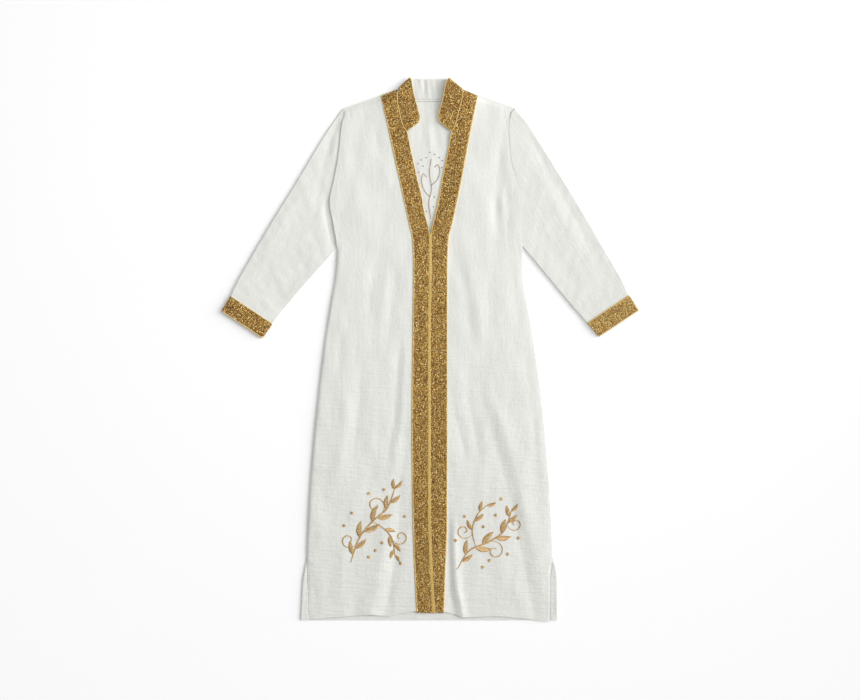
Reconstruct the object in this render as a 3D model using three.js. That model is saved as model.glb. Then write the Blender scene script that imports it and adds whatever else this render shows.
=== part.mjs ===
// An open-fronted abaya of crinkled crepe, laid flat on its back. Two fronts lie on one back, the sleeves
// are flattened tubes, the stand collar is folded in, and gold bands run down the fronts, over the collar's
// ends and round the cuffs. Millimetres. The surface that it lies on is z = 0, +Y points to the collar, and
// the origin is under its middle. "left" and "right" are as seen from above, with the collar at the top.
import * as THREE from "three";

// ---- Walls and seams ----
const CLOTH = 1.5; // crepe wall
const TRIM = 1.6; // gold band wall
const GAP = 0.3; // between pieces at a seam, and under what lies on a panel
const FRONT_LEVEL = CLOTH + GAP; // underside of a front where it lies on the back
const LEAST_RISE = 0.1;

// ---- Rows across the body: each runs from its inner height at the front edge to its outer height ----
const HEM = { inner: -683, outer: -702 };
const SHOULDER = { inner: 678, outer: 627 };
const FOOT_OF_V = 311; // its row ends at the underarm
const ROWS_BELOW_V = 22;
const ROWS_ABOVE_V = [320, 355, 400, 442, 484, 528, 569, 579, 616, 655, 671, SHOULDER.inner];
const COLLAR_END = 569; // the collar is sewn to the front edge from here to the shoulder
const BACK_ROWS_BELOW_V = 9;

// ---- Columns of a front: over the band, over the panel, and one narrow column along the side ----
const BAND_COLUMNS = 3;
const PANEL_COLUMNS = 12;
const SIDE_COLUMN = 9;
const BAND_SHARE = 0.35; // share of a row's drop that falls within the band

// ---- Outline: distance of the side seam and armhole from the middle ----
const OUTLINE = [
  { y: -702, left: 329, right: 312 },
  { y: -636, left: 325, right: 312 },
  { y: -537, left: 318, right: 317 },
  { y: -422, left: 315, right: 313 },
  { y: -262, left: 303, right: 302 },
  { y: -130, left: 289, right: 289 },
  { y: 0, left: 270, right: 272 },
  { y: 115, left: 262, right: 252 },
  { y: 200, left: 246, right: 239 },
  { y: 268, left: 242, right: 241 },
  { y: 330, left: 251, right: 240 },
  { y: 385, left: 260, right: 243 },
  { y: 442, left: 249, right: 227 },
  { y: 502, left: 238, right: 211 },
  { y: 572, left: 230, right: 206 },
  { y: 614, left: 225, right: 211 },
  { y: 627, left: 226, right: 222 },
];

// ---- Back tails, which show past the fronts below the side slits ----
const SLIT_TOP = -537;
const TAILS = [
  { y: -702, left: 333, right: 329 },
  { y: -636, left: 327, right: 332 },
  { y: -566, left: 321, right: 326 },
  { y: SLIT_TOP, left: 318, right: 317 },
];

// ---- Front edges and the outer edges of the bands on them, as x ----
const FRONT_EDGES = [
  { y: -689, leftBand: -35, left: 10, right: 10, rightBand: 37 },
  { y: -588, leftBand: -40, left: 4, right: 4, rightBand: 40 },
  { y: -517, leftBand: -43, left: 1, right: 1, rightBand: 43 },
  { y: -447, leftBand: -45, left: -1, right: -1, rightBand: 45 },
  { y: -211, leftBand: -48, left: -2, right: -2, rightBand: 46 },
  { y: 0, leftBand: -46, left: -2, right: -2, rightBand: 46 },
  { y: 226, leftBand: -44, left: -1, right: -1, rightBand: 46 },
  { y: 290, leftBand: -46, left: -1, right: -1, rightBand: 48 },
  { y: FOOT_OF_V, leftBand: -50, left: -1, right: -1, rightBand: 53 },
  { y: 355, leftBand: -57, left: -12, right: 11, rightBand: 64 },
  { y: 400, leftBand: -68, left: -23, right: 22, rightBand: 74 },
  { y: 442, leftBand: -82, left: -35, right: 29, rightBand: 79 },
  { y: 484, leftBand: -90, left: -43, right: 38, rightBand: 87 },
  { y: 528, leftBand: -99, left: -52, right: 47, rightBand: 99 },
  { y: COLLAR_END, leftBand: -108, left: -60, right: 56, rightBand: 106 },
  { y: 579, leftBand: -110, left: -68, right: 62, rightBand: 108 },
  { y: 616, leftBand: -119, left: -78, right: 72, rightBand: 116 },
  { y: 655, leftBand: -128, left: -84, right: 82, rightBand: 124 },
  { y: SHOULDER.inner, leftBand: -132, left: -83, right: 84, rightBand: 128 },
];

// ---- Hem of the fronts: how far it wanders up or down from its row ----
const HEM_WAVE = [
  { x: -329, up: 0 },
  { x: -156, up: 9 },
  { x: -128, up: -4 },
  { x: -99, up: -6 },
  { x: -57, up: 8 },
  { x: -35, up: 4 },
  { x: 37, up: 4 },
  { x: 81, up: -7 },
  { x: 180, up: 2 },
  { x: 312, up: -4 },
];
const HEM_WAVE_REACH = 60;

// ---- Back neckline, from one end of the shoulder seam to the other ----
const BACK_NECK = [
  { x: -83, y: 678 },
  { x: -75, y: 668 },
  { x: -58, y: 658 },
  { x: -38, y: 653 },
  { x: -13, y: 652 },
  { x: 13, y: 652 },
  { x: 35, y: 653 },
  { x: 58, y: 658 },
  { x: 76, y: 667 },
  { x: 84, y: 678 },
];
const SHOULDER_COLUMNS = 4;

// ---- How the fronts stand off the back ----
const PUFF = 3; // between the seams
const SEAM_FALL = 26; // width over which a front comes down to its side seam
const SHOULDER_FALL = 16;
const NECK_RISE = [
  { y: 480, up: 0 },
  { y: COLLAR_END, up: 1.5 },
  { y: 616, up: 3.5 },
  { y: 655, up: 6 },
  { y: 671, up: 7 },
  { y: SHOULDER.inner, up: 7 },
];
const NECK_REACH = 75;

// ---- Folds: each lifts or sinks the cloth along its path and fades out over its width ----
const FRONT_FOLDS = [
  { path: [[-133, 218], [-161, 114]], width: 15, lift: -1.6 },
  { path: [[-81, 227], [-109, 114]], width: 14, lift: -1.8 },
  { path: [[-106, 222], [-136, 96]], width: 14, lift: 1.6 },
  { path: [[-81, -68], [-107, -187], [-123, -304]], width: 16, lift: -1.8 },
  { path: [[-66, -150], [-88, -250], [-100, -340]], width: 14, lift: 1.8 },
  { path: [[-62, -229], [-76, -328], [-82, -447], [-99, -588], [-113, -690]], width: 15, lift: -2.4 },
  { path: [[-112, -420], [-131, -560], [-156, -690]], width: 24, lift: 2.4 },
  { path: [[-179, -21], [-190, -211], [-208, -328]], width: 20, lift: -1.5 },
  { path: [[-214, -60], [-226, -230], [-246, -400]], width: 22, lift: 1.6 },
  { path: [[-231, 60], [-237, -68]], width: 14, lift: -1.4 },
  { path: [[-135, 520], [-100, 405]], width: 14, lift: 1.2 },
  { path: [[-196, 470], [-184, 330], [-172, 250]], width: 22, lift: 1.2 },
  { path: [[70, 255], [95, 138], [113, 0]], width: 14, lift: -2 },
  { path: [[94, 240], [124, 110], [140, -20]], width: 18, lift: 2 },
  { path: [[90, -68], [113, -196], [137, -315]], width: 14, lift: -1.8 },
  { path: [[109, -44], [156, -187], [208, -376], [251, -588], [273, -690]], width: 18, lift: -2.4 },
  { path: [[134, -40], [188, -200], [236, -376], [276, -560]], width: 20, lift: 2.2 },
  { path: [[246, 26], [265, -139], [279, -304], [291, -494]], width: 13, lift: -1.8 },
  { path: [[57, -130], [81, -220], [99, -304]], width: 12, lift: -1.6 },
  { path: [[62, -400], [64, -575], [70, -690]], width: 14, lift: -2.6 },
  { path: [[92, -430], [108, -580], [118, -690]], width: 24, lift: 2.6 },
  { path: [[179, 491], [174, 374], [185, 317]], width: 20, lift: -1.4 },
  { path: [[203, 278], [222, 161], [243, 18]], width: 14, lift: -1.6 },
];
const SLEEVE_FOLDS = [
  { path: [[-252, 598], [-273, 502], [-295, 372], [-299, 299]], width: 16, lift: -1.2 },
  { path: [[-330, 420], [-400, 300], [-455, 200]], width: 18, lift: 1.2 },
  { path: [[-300, 250], [-352, 190], [-400, 130]], width: 14, lift: -1 },
  { path: [[260, 546], [330, 425], [473, 169]], width: 14, lift: -1.2 },
  { path: [[270, 470], [340, 350], [420, 210]], width: 20, lift: 1.2 },
  { path: [[262, 330], [330, 240], [395, 140]], width: 14, lift: -1 },
];

// ---- Sleeves: the upper and under edges from armhole to cuff, and the cuff's free corners ----
const SLEEVES = {
  left: {
    over: [[-226, 627], [-269, 568], [-355, 433], [-442, 295], [-507, 172], [-518, 140]],
    under: [[-242, 268], [-254, 250], [-295, 208], [-355, 139], [-409, 67]],
    cuffOver: [-542, 102],
    cuffUnder: [-434, 31],
  },
  right: {
    over: [[222, 627], [247, 598], [270, 562], [348, 437], [412, 338], [447, 270], [498, 186], [518, 143]],
    under: [[241, 268], [300, 197], [355, 130], [408, 69]],
    cuffOver: [542, 104],
    cuffUnder: [438, 35],
  },
};
const SLEEVE_STEPS = 12;
const SLEEVE_LOFT = { armhole: 3.6, full: 6.2, from: 0.25 }; // height of the flattened tube
const SLEEVE_FOLDS_FROM = 0.2; // share of the sleeve over which its folds start
const ARMHOLE_CURVE_REACH = 0.35; // share of the sleeve over which its rings lose the armhole's curve
const CUFF_APPROACH = 0.98; // from this share on the sleeve lifts on to the cuff's wall
const CUFF_LOFT = 4.2; // height of the sleeve inside the cuff
const CUFF_INSET = 3; // the sleeve narrows by this at each edge to go inside the cuff
const CUFF_RINGS = [0, 0.5, 0.97]; // shares of the cuff's depth where its rings lie

// ---- Collar: a station for each row from its front end to its turn, with the free edge's place ----
const COLLAR = {
  left: [
    { seamY: COLLAR_END, freeX: -34, freeY: 590, rise: 1.5 },
    { seamY: 579, freeX: -27, freeY: 601, rise: 1.8 },
    { seamY: 616, freeX: -31, freeY: 624, rise: 3.2 },
    { seamY: 655, freeX: -40, freeY: 659, rise: 5.5 },
    { seamY: 668, freeX: -46, freeY: 683, rise: 7.5 },
  ],
  right: [
    { seamY: COLLAR_END, freeX: 34, freeY: 589, rise: 1.5 },
    { seamY: 579, freeX: 23, freeY: 601, rise: 1.8 },
    { seamY: 616, freeX: 26, freeY: 624, rise: 3.2 },
    { seamY: 655, freeX: 34, freeY: 662, rise: 5.5 },
    { seamY: 668, freeX: 39, freeY: 685, rise: 7.5 },
  ],
};
// The line on which the collar turns from its front layer to its back one, from the seam to the free edge.
const COLLAR_TURN = { left: [[-83, 679], [-53, 707]], right: [[84, 679], [49, 707]] };
const COLLAR_TOP = 704; // free edge at the middle of the back
const COLLAR_HEIGHT = 12; // top of the turn
const COLLAR_COLUMNS = 4;
const TURN_STEPS = 5;
const TRIM_TURN_STEPS = 2; // the trim follows the turn this far

// ---- Materials ----
const crepe = () => new THREE.MeshStandardMaterial({ color: 0xe9e6e1, roughness: 0.9 });
const goldTrim = () => new THREE.MeshStandardMaterial({ color: 0xa8803a, roughness: 0.45, metalness: 0.5 });

const SIGN = { left: -1, right: 1 };
const lerp = THREE.MathUtils.lerp;
const clamp01 = (value) => THREE.MathUtils.clamp(value, 0, 1);
const ease = (value) => THREE.MathUtils.smoothstep(value, 0, 1);
const steps = (count) => Array.from({ length: count + 1 }, (_, i) => i / count);

// Reads a column of a table whose rows are in order of key.
function read(table, key, column, at) {
  const last = table.length - 2;
  const found = table.findIndex((row, i) => i > 0 && at <= row[key]) - 1;
  const i = found < 0 ? (at <= table[0][key] ? 0 : last) : found;
  const share = (at - table[i][key]) / (table[i + 1][key] - table[i][key]);
  return lerp(table[i][column], table[i + 1][column], clamp01(share));
}

const outerHeight = (inner) =>
  lerp(HEM.outer, SHOULDER.outer, (inner - HEM.inner) / (SHOULDER.inner - HEM.inner));
const side = (name, y) => SIGN[name] * read(OUTLINE, "y", name, y);

// Distance from a point to a path of straight stretches.
function distanceTo(path, x, y) {
  const point = new THREE.Vector3(x, y, 0);
  const nearest = new THREE.Vector3();
  return Math.min(
    ...path.slice(1).map(([endX, endY], i) => {
      const line = new THREE.Line3(new THREE.Vector3(...path[i], 0), new THREE.Vector3(endX, endY, 0));
      return line.closestPointToPoint(point, true, nearest).distanceTo(point);
    }),
  );
}

function foldLift(folds, x, y) {
  return folds.reduce((sum, { path, width, lift }) => {
    return sum + lift * Math.exp(-((distanceTo(path, x, y) / width) ** 2));
  }, 0);
}

// A closed solid between two grids of points. The rows of a ring close on themselves.
function wall(outer, inner, ring = false) {
  const rows = outer.length;
  const columns = outer[0].length;
  const points = [...outer.flat(), ...inner.flat()];
  const index = [];
  const at = (layer, row, column) => (layer * rows + row) * columns + (column % columns);
  const quad = (a, b, c, d) => index.push(a, b, c, a, c, d);
  const spans = ring ? columns : columns - 1;
  for (let r = 0; r < rows - 1; r += 1) {
    for (let c = 0; c < spans; c += 1) {
      quad(at(0, r, c), at(0, r, c + 1), at(0, r + 1, c + 1), at(0, r + 1, c));
      quad(at(1, r, c), at(1, r + 1, c), at(1, r + 1, c + 1), at(1, r, c + 1));
    }
    if (!ring) {
      quad(at(0, r, 0), at(0, r + 1, 0), at(1, r + 1, 0), at(1, r, 0));
      quad(at(0, r, spans), at(1, r, spans), at(1, r + 1, spans), at(0, r + 1, spans));
    }
  }
  for (let c = 0; c < spans; c += 1) {
    quad(at(0, 0, c), at(1, 0, c), at(1, 0, c + 1), at(0, 0, c + 1));
    quad(at(0, rows - 1, c), at(0, rows - 1, c + 1), at(1, rows - 1, c + 1), at(1, rows - 1, c));
  }
  const volume = index.reduce((sum, _, i) => {
    if (i % 3) return sum;
    const [a, b, c] = [points[index[i]], points[index[i + 1]], points[index[i + 2]]];
    return sum + a.dot(new THREE.Vector3().crossVectors(b, c));
  }, 0);
  if (volume < 0) index.reverse();
  const geometry = new THREE.BufferGeometry().setFromPoints(points);
  geometry.setIndex(index);
  geometry.computeVertexNormals();
  return geometry;
}

const up = new THREE.Vector3(0, 0, 1);
const raised = (grid, height) => grid.map((row) => row.map((p) => p.clone().addScaledVector(up, height)));
const sheet = (grid, thickness) => wall(raised(grid, thickness), grid);

// ---- Body ----
const frontRows = [
  ...steps(ROWS_BELOW_V).map((share) => lerp(HEM.inner, FOOT_OF_V, share)),
  ...ROWS_ABOVE_V,
];

function frontRise(name, x, y, sideX, shoulderY, edgeX) {
  const neck = read(NECK_RISE, "y", "up", y) * ease(1 - Math.abs(x - edgeX) / NECK_REACH);
  const free = Math.max(LEAST_RISE, PUFF + foldLift(FRONT_FOLDS, x, y) + neck);
  const fall = ease(Math.abs(sideX - x) / SEAM_FALL) * ease((shoulderY - y) / SHOULDER_FALL);
  return free * fall;
}

// Underside of a front: rows from hem to shoulder, columns from the front edge to the side.
function frontGrid(name) {
  const sign = SIGN[name];
  return frontRows.map((innerY) => {
    const outerY = outerHeight(innerY);
    const bandY = lerp(innerY, outerY, BAND_SHARE);
    const edgeX = read(FRONT_EDGES, "y", name, innerY) + (sign * GAP) / 2;
    const bandX = read(FRONT_EDGES, "y", `${name}Band`, bandY);
    const sideX = side(name, outerY);
    const panel = 1 - SIDE_COLUMN / Math.abs(sideX - bandX);
    const plan = [
      ...steps(BAND_COLUMNS).map((s) => [lerp(edgeX, bandX, s), lerp(innerY, bandY, s)]),
      ...steps(PANEL_COLUMNS)
        .slice(1)
        .map((s) => [lerp(bandX, sideX, s * panel), lerp(bandY, outerY, s * panel)]),
      [sideX, outerY],
    ];
    return plan.map(([x, y]) => {
      const shoulderY = y + (SHOULDER.inner - innerY);
      const nearHem = clamp01(1 - (innerY - HEM.inner) / HEM_WAVE_REACH);
      const wavedY = y + read(HEM_WAVE, "x", "up", x) * nearHem;
      return new THREE.Vector3(x, wavedY, FRONT_LEVEL + frontRise(name, x, y, sideX, shoulderY, edgeX));
    });
  });
}

function backSide(name, y) {
  return y < SLIT_TOP ? SIGN[name] * read(TAILS, "y", name, y) : side(name, y);
}

// Underside of the back. Its top row follows both shoulder seams and the neckline between them.
function backGrid() {
  const rows = [...steps(BACK_ROWS_BELOW_V).map((s) => lerp(HEM.inner, FOOT_OF_V, s)), ...ROWS_ABOVE_V];
  const [neckLeft, neckRight] = [BACK_NECK[0], BACK_NECK.at(-1)];
  const shoulder = (from, to) =>
    steps(SHOULDER_COLUMNS).map((s) => ({ x: lerp(from.x, to.x, s), y: lerp(from.y, to.y, s) }));
  const tip = (name) => ({ x: side(name, SHOULDER.outer), y: SHOULDER.outer });
  const top = [
    ...shoulder(tip("left"), neckLeft).slice(0, -1),
    ...BACK_NECK,
    ...shoulder(neckRight, tip("right")).slice(1),
  ];
  const [topLeft, topRight] = [top[0].x, top.at(-1).x];
  return rows.map((innerY) => {
    const outerY = outerHeight(innerY);
    const [left, right] = [backSide("left", outerY), backSide("right", outerY)];
    const toTop = clamp01((innerY - FOOT_OF_V) / (SHOULDER.inner - FOOT_OF_V));
    return top.map((p) => {
      const x = lerp(left, right, (p.x - topLeft) / (topRight - topLeft));
      return new THREE.Vector3(x, outerY + (p.y - SHOULDER.outer) * toTop, 0);
    });
  });
}

// ---- Sleeves ----
const armholeRows = [FOOT_OF_V, ...ROWS_ABOVE_V].reverse();
const curveThrough = (path) => new THREE.SplineCurve(path.map(([x, y]) => new THREE.Vector2(x, y)));

function armholeLine(name) {
  return armholeRows.map((innerY) => {
    const y = outerHeight(innerY);
    return new THREE.Vector2(side(name, y) + SIGN[name] * GAP, y);
  });
}

// Shares of the armhole's length at which its points lie, from the shoulder tip to the underarm.
function armholeShares(line) {
  const lengths = line.slice(1).map((p, i) => p.distanceTo(line[i]));
  const total = lengths.reduce((sum, length) => sum + length, 0);
  return lengths.reduce((shares, length) => [...shares, shares.at(-1) + length / total], [0]);
}

// Moves a closed outline out by a distance, or in where it is negative.
function offset(outline, distance) {
  const turn = Math.sign(THREE.ShapeUtils.area(outline));
  const leastMiter = 0.12;
  return outline.map((p, i) => {
    const before = p.clone().sub(outline.at(i - 1)).normalize();
    const after = outline[(i + 1) % outline.length].clone().sub(p).normalize();
    const normal = new THREE.Vector2(before.y + after.y, -before.x - after.x);
    const miter = Math.max(leastMiter, 1 + before.dot(after));
    return p.clone().addScaledVector(normal, (turn * distance) / miter);
  });
}

const distancesAlong = (line) =>
  line.reduce((all, p, i) => [...all, i ? all[i - 1] + p.distanceTo(line[i - 1]) : 0], []);

// A ring lies over a plan line: its outline is in (distance along the line, height).
function ringOutline(line, bottom, topAt) {
  const distances = distancesAlong(line);
  const last = line.length - 1;
  const middle = (bottom + topAt(line[0])) / 2;
  const over = line.map((p, i) => new THREE.Vector2(distances[i], i % last ? topAt(p) : middle));
  const beneath = line.slice(1, -1).map((_, i) => new THREE.Vector2(distances[i + 1], bottom)).reverse();
  return [...over, ...beneath];
}

// Places an outline's points over its plan line, going on straight past its ends.
function placeRing(line, outline) {
  const distances = distancesAlong(line);
  return outline.map(({ x: along, y: z }) => {
    const found = distances.findIndex((distance, i) => i > 0 && along <= distance);
    const i = found < 0 ? line.length - 1 : found;
    const share = (along - distances[i - 1]) / (distances[i] - distances[i - 1]);
    const { x, y } = line[i - 1].clone().lerp(line[i], share);
    return new THREE.Vector3(x, y, z);
  });
}

// Each ring of a sleeve: its plan line, the heights of its underside and top, and whether it is in the cuff.
function sleeveRings(name) {
  const shape = SLEEVES[name];
  const [over, under] = [curveThrough(shape.over), curveThrough(shape.under)];
  const armhole = armholeLine(name);
  const shares = armholeShares(armhole);
  const straight = (from, to) => shares.map((s) => from.clone().lerp(to, s));
  const chord = straight(armhole[0], armhole.at(-1));
  const loft = (t) => lerp(SLEEVE_LOFT.armhole, SLEEVE_LOFT.full, ease(t / SLEEVE_LOFT.from));
  const main = steps(SLEEVE_STEPS).map((step) => {
    const t = step * CUFF_APPROACH;
    const curved = clamp01(1 - t / ARMHOLE_CURVE_REACH) ** 2;
    const line = straight(over.getPointAt(t), under.getPointAt(t)).map((p, i) =>
      p.addScaledVector(armhole[i].clone().sub(chord[i]), curved),
    );
    const folded = ease(t / SLEEVE_FOLDS_FROM);
    const topAt = (p) => loft(t) + foldLift(SLEEVE_FOLDS, p.x, p.y) * folded;
    return { line: step ? line : armhole, bottom: 0, topAt };
  });
  const cuffTop = [over.getPointAt(1), under.getPointAt(1)];
  const cuffEnd = [shape.cuffOver, shape.cuffUnder].map(([x, y]) => new THREE.Vector2(x, y));
  const bottom = TRIM + GAP;
  const topAt = () => bottom + CUFF_LOFT;
  const inside = CUFF_RINGS.map((share) => {
    const [from, to] = cuffTop.map((p, i) => p.clone().lerp(cuffEnd[i], share));
    const inward = to.clone().sub(from).setLength(CUFF_INSET);
    return { line: straight(from.add(inward), to.sub(inward)), bottom, topAt, cuff: true };
  });
  return [...main, ...inside];
}

function sleeve(name) {
  const rings = sleeveRings(name).map(({ line, bottom, topAt }) => {
    return { line, outline: ringOutline(line, bottom, topAt) };
  });
  const outer = rings.map(({ line, outline }) => placeRing(line, outline));
  const inner = rings.map(({ line, outline }) => placeRing(line, offset(outline, -CLOTH)));
  return wall(outer, inner, true);
}

// The cuff's band goes round the sleeve's end, from the sleeve's own rings moved out.
function cuffBand(name) {
  const rings = sleeveRings(name)
    .filter(({ cuff }) => cuff)
    .map(({ line, bottom, topAt }) => ({ line, outline: ringOutline(line, bottom, topAt) }));
  const moved = (distance) => rings.map(({ line, outline }) => placeRing(line, offset(outline, distance)));
  return wall(moved(GAP + TRIM), moved(GAP), true);
}

// ---- Collar ----
// Each station has the points of the collar's middle surface from seam to free edge, and the way it faces.
function collarFront(name, front) {
  const sign = SIGN[name];
  const stations = COLLAR[name].map(({ seamY, freeX, freeY, rise }) => {
    const seamX = read(FRONT_EDGES, "y", name, seamY) - sign * GAP;
    const row = front.findIndex((points) => points[0].y >= seamY - 1);
    const seamZ = front[row][0].z + CLOTH / 2;
    const freeZ = FRONT_LEVEL + PUFF + rise + CLOTH / 2;
    const points = steps(COLLAR_COLUMNS).map(
      (s) => new THREE.Vector3(lerp(seamX, freeX, s), lerp(seamY, freeY, s), lerp(seamZ, freeZ, s)),
    );
    return { points, facing: up };
  });
  const [[seamX, seamY], [freeX, freeY]] = COLLAR_TURN[name];
  const along = new THREE.Vector3(freeX - seamX, freeY - seamY, 0).normalize();
  const outward = new THREE.Vector3(sign * along.y, -sign * along.x, 0);
  const radius = (COLLAR_HEIGHT - CLOTH) / 2;
  const turn = steps(TURN_STEPS).map((share) => {
    const angle = share * Math.PI;
    const facing = up.clone().multiplyScalar(Math.cos(angle)).addScaledVector(outward, Math.sin(angle));
    const points = steps(COLLAR_COLUMNS).map((s) =>
      new THREE.Vector3(lerp(seamX, freeX, s), lerp(seamY, freeY, s), COLLAR_HEIGHT / 2)
        .addScaledVector(outward, -radius - CLOTH / 2)
        .addScaledVector(facing, radius),
    );
    return { points, facing };
  });
  return [...stations, ...turn];
}

function collarBack() {
  const down = up.clone().negate();
  const [left, right] = [COLLAR_TURN.left[1], COLLAR_TURN.right[1]];
  const turned = COLLAR_HEIGHT / 2;
  return BACK_NECK.slice(2, -2).map((neck) => {
    const share = (neck.x - BACK_NECK[0].x) / (BACK_NECK.at(-1).x - BACK_NECK[0].x);
    const freeX = lerp(left[0] + turned, right[0] - turned, share);
    const freeY = lerp(COLLAR_TOP, left[1] - 1, (2 * share - 1) ** 2);
    const points = steps(COLLAR_COLUMNS).map(
      (s) => new THREE.Vector3(lerp(neck.x, freeX, s), lerp(neck.y + GAP, freeY, s), CLOTH / 2),
    );
    return { points, facing: down };
  });
}

const movedOut = (stations, distance) =>
  stations.map(({ points, facing }) => points.map((p) => p.clone().addScaledVector(facing, distance)));

const between = (stations, from, to) => wall(movedOut(stations, to), movedOut(stations, from));

// ---- Assembly ----
const abaya = new THREE.Group();

function add(name, geometry, material) {
  const mesh = new THREE.Mesh(geometry, material);
  mesh.name = name;
  abaya.add(mesh);
}

add("back_panel", sheet(backGrid(), CLOTH), crepe());

const fronts = { left: frontGrid("left"), right: frontGrid("right") };
for (const [name, front] of Object.entries(fronts)) {
  const band = raised(front, CLOTH + GAP).map((row) => row.slice(0, BAND_COLUMNS + 1));
  add(`front_${name}`, sheet(front, CLOTH), crepe());
  add(`front_band_${name}`, sheet(band, TRIM), goldTrim());
  add(`sleeve_${name}`, sleeve(name), crepe());
  add(`cuff_band_${name}`, cuffBand(name), goldTrim());
}

// The collar's stations run from its left front round the back to its right front.
const collar = [
  ...collarFront("left", fronts.left),
  ...collarBack(),
  ...collarFront("right", fronts.right).reverse(),
];
const trimmed = COLLAR.left.length + 1 + TRIM_TURN_STEPS;
const trimInside = CLOTH / 2 + GAP;
add("collar", between(collar, -CLOTH / 2, CLOTH / 2), crepe());
add("collar_trim_left", between(collar.slice(0, trimmed), trimInside, trimInside + TRIM), goldTrim());
add("collar_trim_right", between(collar.slice(-trimmed), trimInside, trimInside + TRIM), goldTrim());

// The turned collar reaches a little past its turn line, so the whole is centred by its box.
const middle = new THREE.Box3().setFromObject(abaya).getCenter(new THREE.Vector3());
abaya.position.set(-middle.x, -middle.y, 0);

export default abaya;
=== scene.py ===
"""An open-fronted abaya of crinkled white crepe, laid flat on a pale floor and seen from straight above.

Sizes are in millimetres until a mesh is made, and materials are in metres. +Y points to the collar, and
left and right are as seen from above. The cloth is thin shells, and the gold bands are ribbons sewn all
over with beads.
"""

import math

import bpy
import numpy as np
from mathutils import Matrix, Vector


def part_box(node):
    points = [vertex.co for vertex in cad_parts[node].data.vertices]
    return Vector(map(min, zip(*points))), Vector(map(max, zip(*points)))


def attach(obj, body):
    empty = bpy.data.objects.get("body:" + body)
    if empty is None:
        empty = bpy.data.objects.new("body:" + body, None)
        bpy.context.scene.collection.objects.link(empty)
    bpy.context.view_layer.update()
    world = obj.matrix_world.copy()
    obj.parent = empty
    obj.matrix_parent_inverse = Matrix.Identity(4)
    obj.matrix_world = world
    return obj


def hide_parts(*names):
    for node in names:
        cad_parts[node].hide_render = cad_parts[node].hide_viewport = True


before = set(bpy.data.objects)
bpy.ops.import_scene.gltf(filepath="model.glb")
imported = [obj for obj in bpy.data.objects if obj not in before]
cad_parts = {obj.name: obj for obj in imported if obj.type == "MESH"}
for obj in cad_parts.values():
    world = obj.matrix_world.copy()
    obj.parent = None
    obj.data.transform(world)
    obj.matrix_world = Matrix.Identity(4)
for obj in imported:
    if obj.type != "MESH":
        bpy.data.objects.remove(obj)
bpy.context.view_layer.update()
MM = 0.001


def table(names, *rows):
    """Rows of numbers, kept as one named column each."""
    return dict(zip(names.split(), np.array(rows, float).T))


def folds(*rows):
    """Folds of the cloth: each row is a width, a lift and the points of its path."""
    return [{"width": width, "lift": lift, "path": path} for width, lift, *path in rows]


# ---- Levels and walls ----
GAP = 0.3
SHELL = 0.8  # crepe, as drawn
RIM_ANGLE = 50.0  # a rim this sharp, in degrees, isn't shaded round
FRONT_LEVEL = 1.8  # underside of the fronts
BACK_TOP = 1.2
BACK_RISE = 1.5  # in the neck opening
PUFF = 3.0
HEM_PUFF = (0.5, 90.0)  # share of the puff that the hem has, and how far up it fills out
LEAST_RISE = 0.1
SEAM_FALL = {"left": 2.5, "right": 24.0}
SLIT_FALL, SLIT_FADE = 16.0, 40.0
SHOULDER_FALL = 16.0
HEM_DEPTH = 9.0  # turned and stitched hem
HEM_TURN = 2.5  # over so much, the turned hem's step runs out
HEM_STEP, BACK_HEM_STEP = 0.35, 0.3
HEM_WAVE_REACH = 75.0
TAIL_BULGE = {"rise": 1.5, "from": -0.5, "over": 1.6, "edge": 1.5, "fade": 30}  # the back, beside a slit
SIGN = {"left": -1, "right": 1}

# ---- Rows across the body: each runs from the front edge, at an inner height, to the side ----
HEM_IN, HEM_OUT = -683.0, -702.0
SHOULDER_IN, SHOULDER_OUT = 678.0, 627.0
FOOT_OF_V = 311.0
UNDERARM = 268.6
COLLAR_END = 569.0
SLIT_TOP = -537.0
BAND_SHARE = 0.35

OUTLINE = table(
    "y left right",
    (-702, 314, 312), (-636, 316, 312), (-598, 318, 312), (-537, 320.5, 317), (-422, 316.5, 313),
    (-262, 305.5, 302), (-130, 292.5, 289), (0, 277, 272), (78, 266, 259), (130, 257, 250), (200, 246, 239),
    (268, 242, 241), (330, 251, 240), (385, 260, 243), (442, 249, 227), (502, 238, 211), (572, 230, 206),
    (614, 225, 211), (627, 226, 222),
)
TAILS = table(
    "y left right",
    (-702, 337, 333), (-636, 334, 332), (-598, 331.5, 331.5), (-566, 326, 328), (SLIT_TOP, 321, 317.5),
)
FRONT_EDGES = table(
    "y left_band left right right_band",
    (-689, -35, 10, 10, 37), (-588, -40, 4, 4, 40), (-517, -43, 1, 1, 43), (-447, -45, -1, -1, 45),
    (-211, -48, -2, -2, 46), (0, -46, -2, -2, 46), (226, -44, 0.5, 0.5, 46), (298, -47.5, 1, 1, 50),
    (FOOT_OF_V, -51.5, -1.6, 3, 54), (355, -61, -13.5, 14.5, 64.5), (400, -71, -21.5, 23.5, 74),
    (442, -80, -32, 31, 82.5), (484, -89.5, -41.5, 39.5, 90.5), (528, -99, -51, 48, 98.5),
    (COLLAR_END, -108, -60, 56, 106), (579, -110, -68, 62, 108), (616, -118.5, -78, 72, 115.5),
    (655, -127, -84, 82, 123.5), (SHOULDER_IN, -132, -83, 84, 128),
)
SHOULDER_LINE = table("x y", (83, SHOULDER_IN), (129, 660), (175, 645), (226, SHOULDER_OUT))
HEM_WAVE = table(
    "x up",
    (-329, 0), (-240, 4), (-158, 5), (-131, 1), (-108, -3), (-83, 2), (-52, 6), (-36, 7), (37, 4), (60, 0),
    (84, -6), (180, 1), (312, -4),
)
BACK_NECK = table(
    "x y",
    (-83, 678), (-75, 668), (-58, 658), (-38, 653), (-13, 652), (13, 652), (35, 653), (58, 658), (76, 667),
    (84, 678),
)
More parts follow.
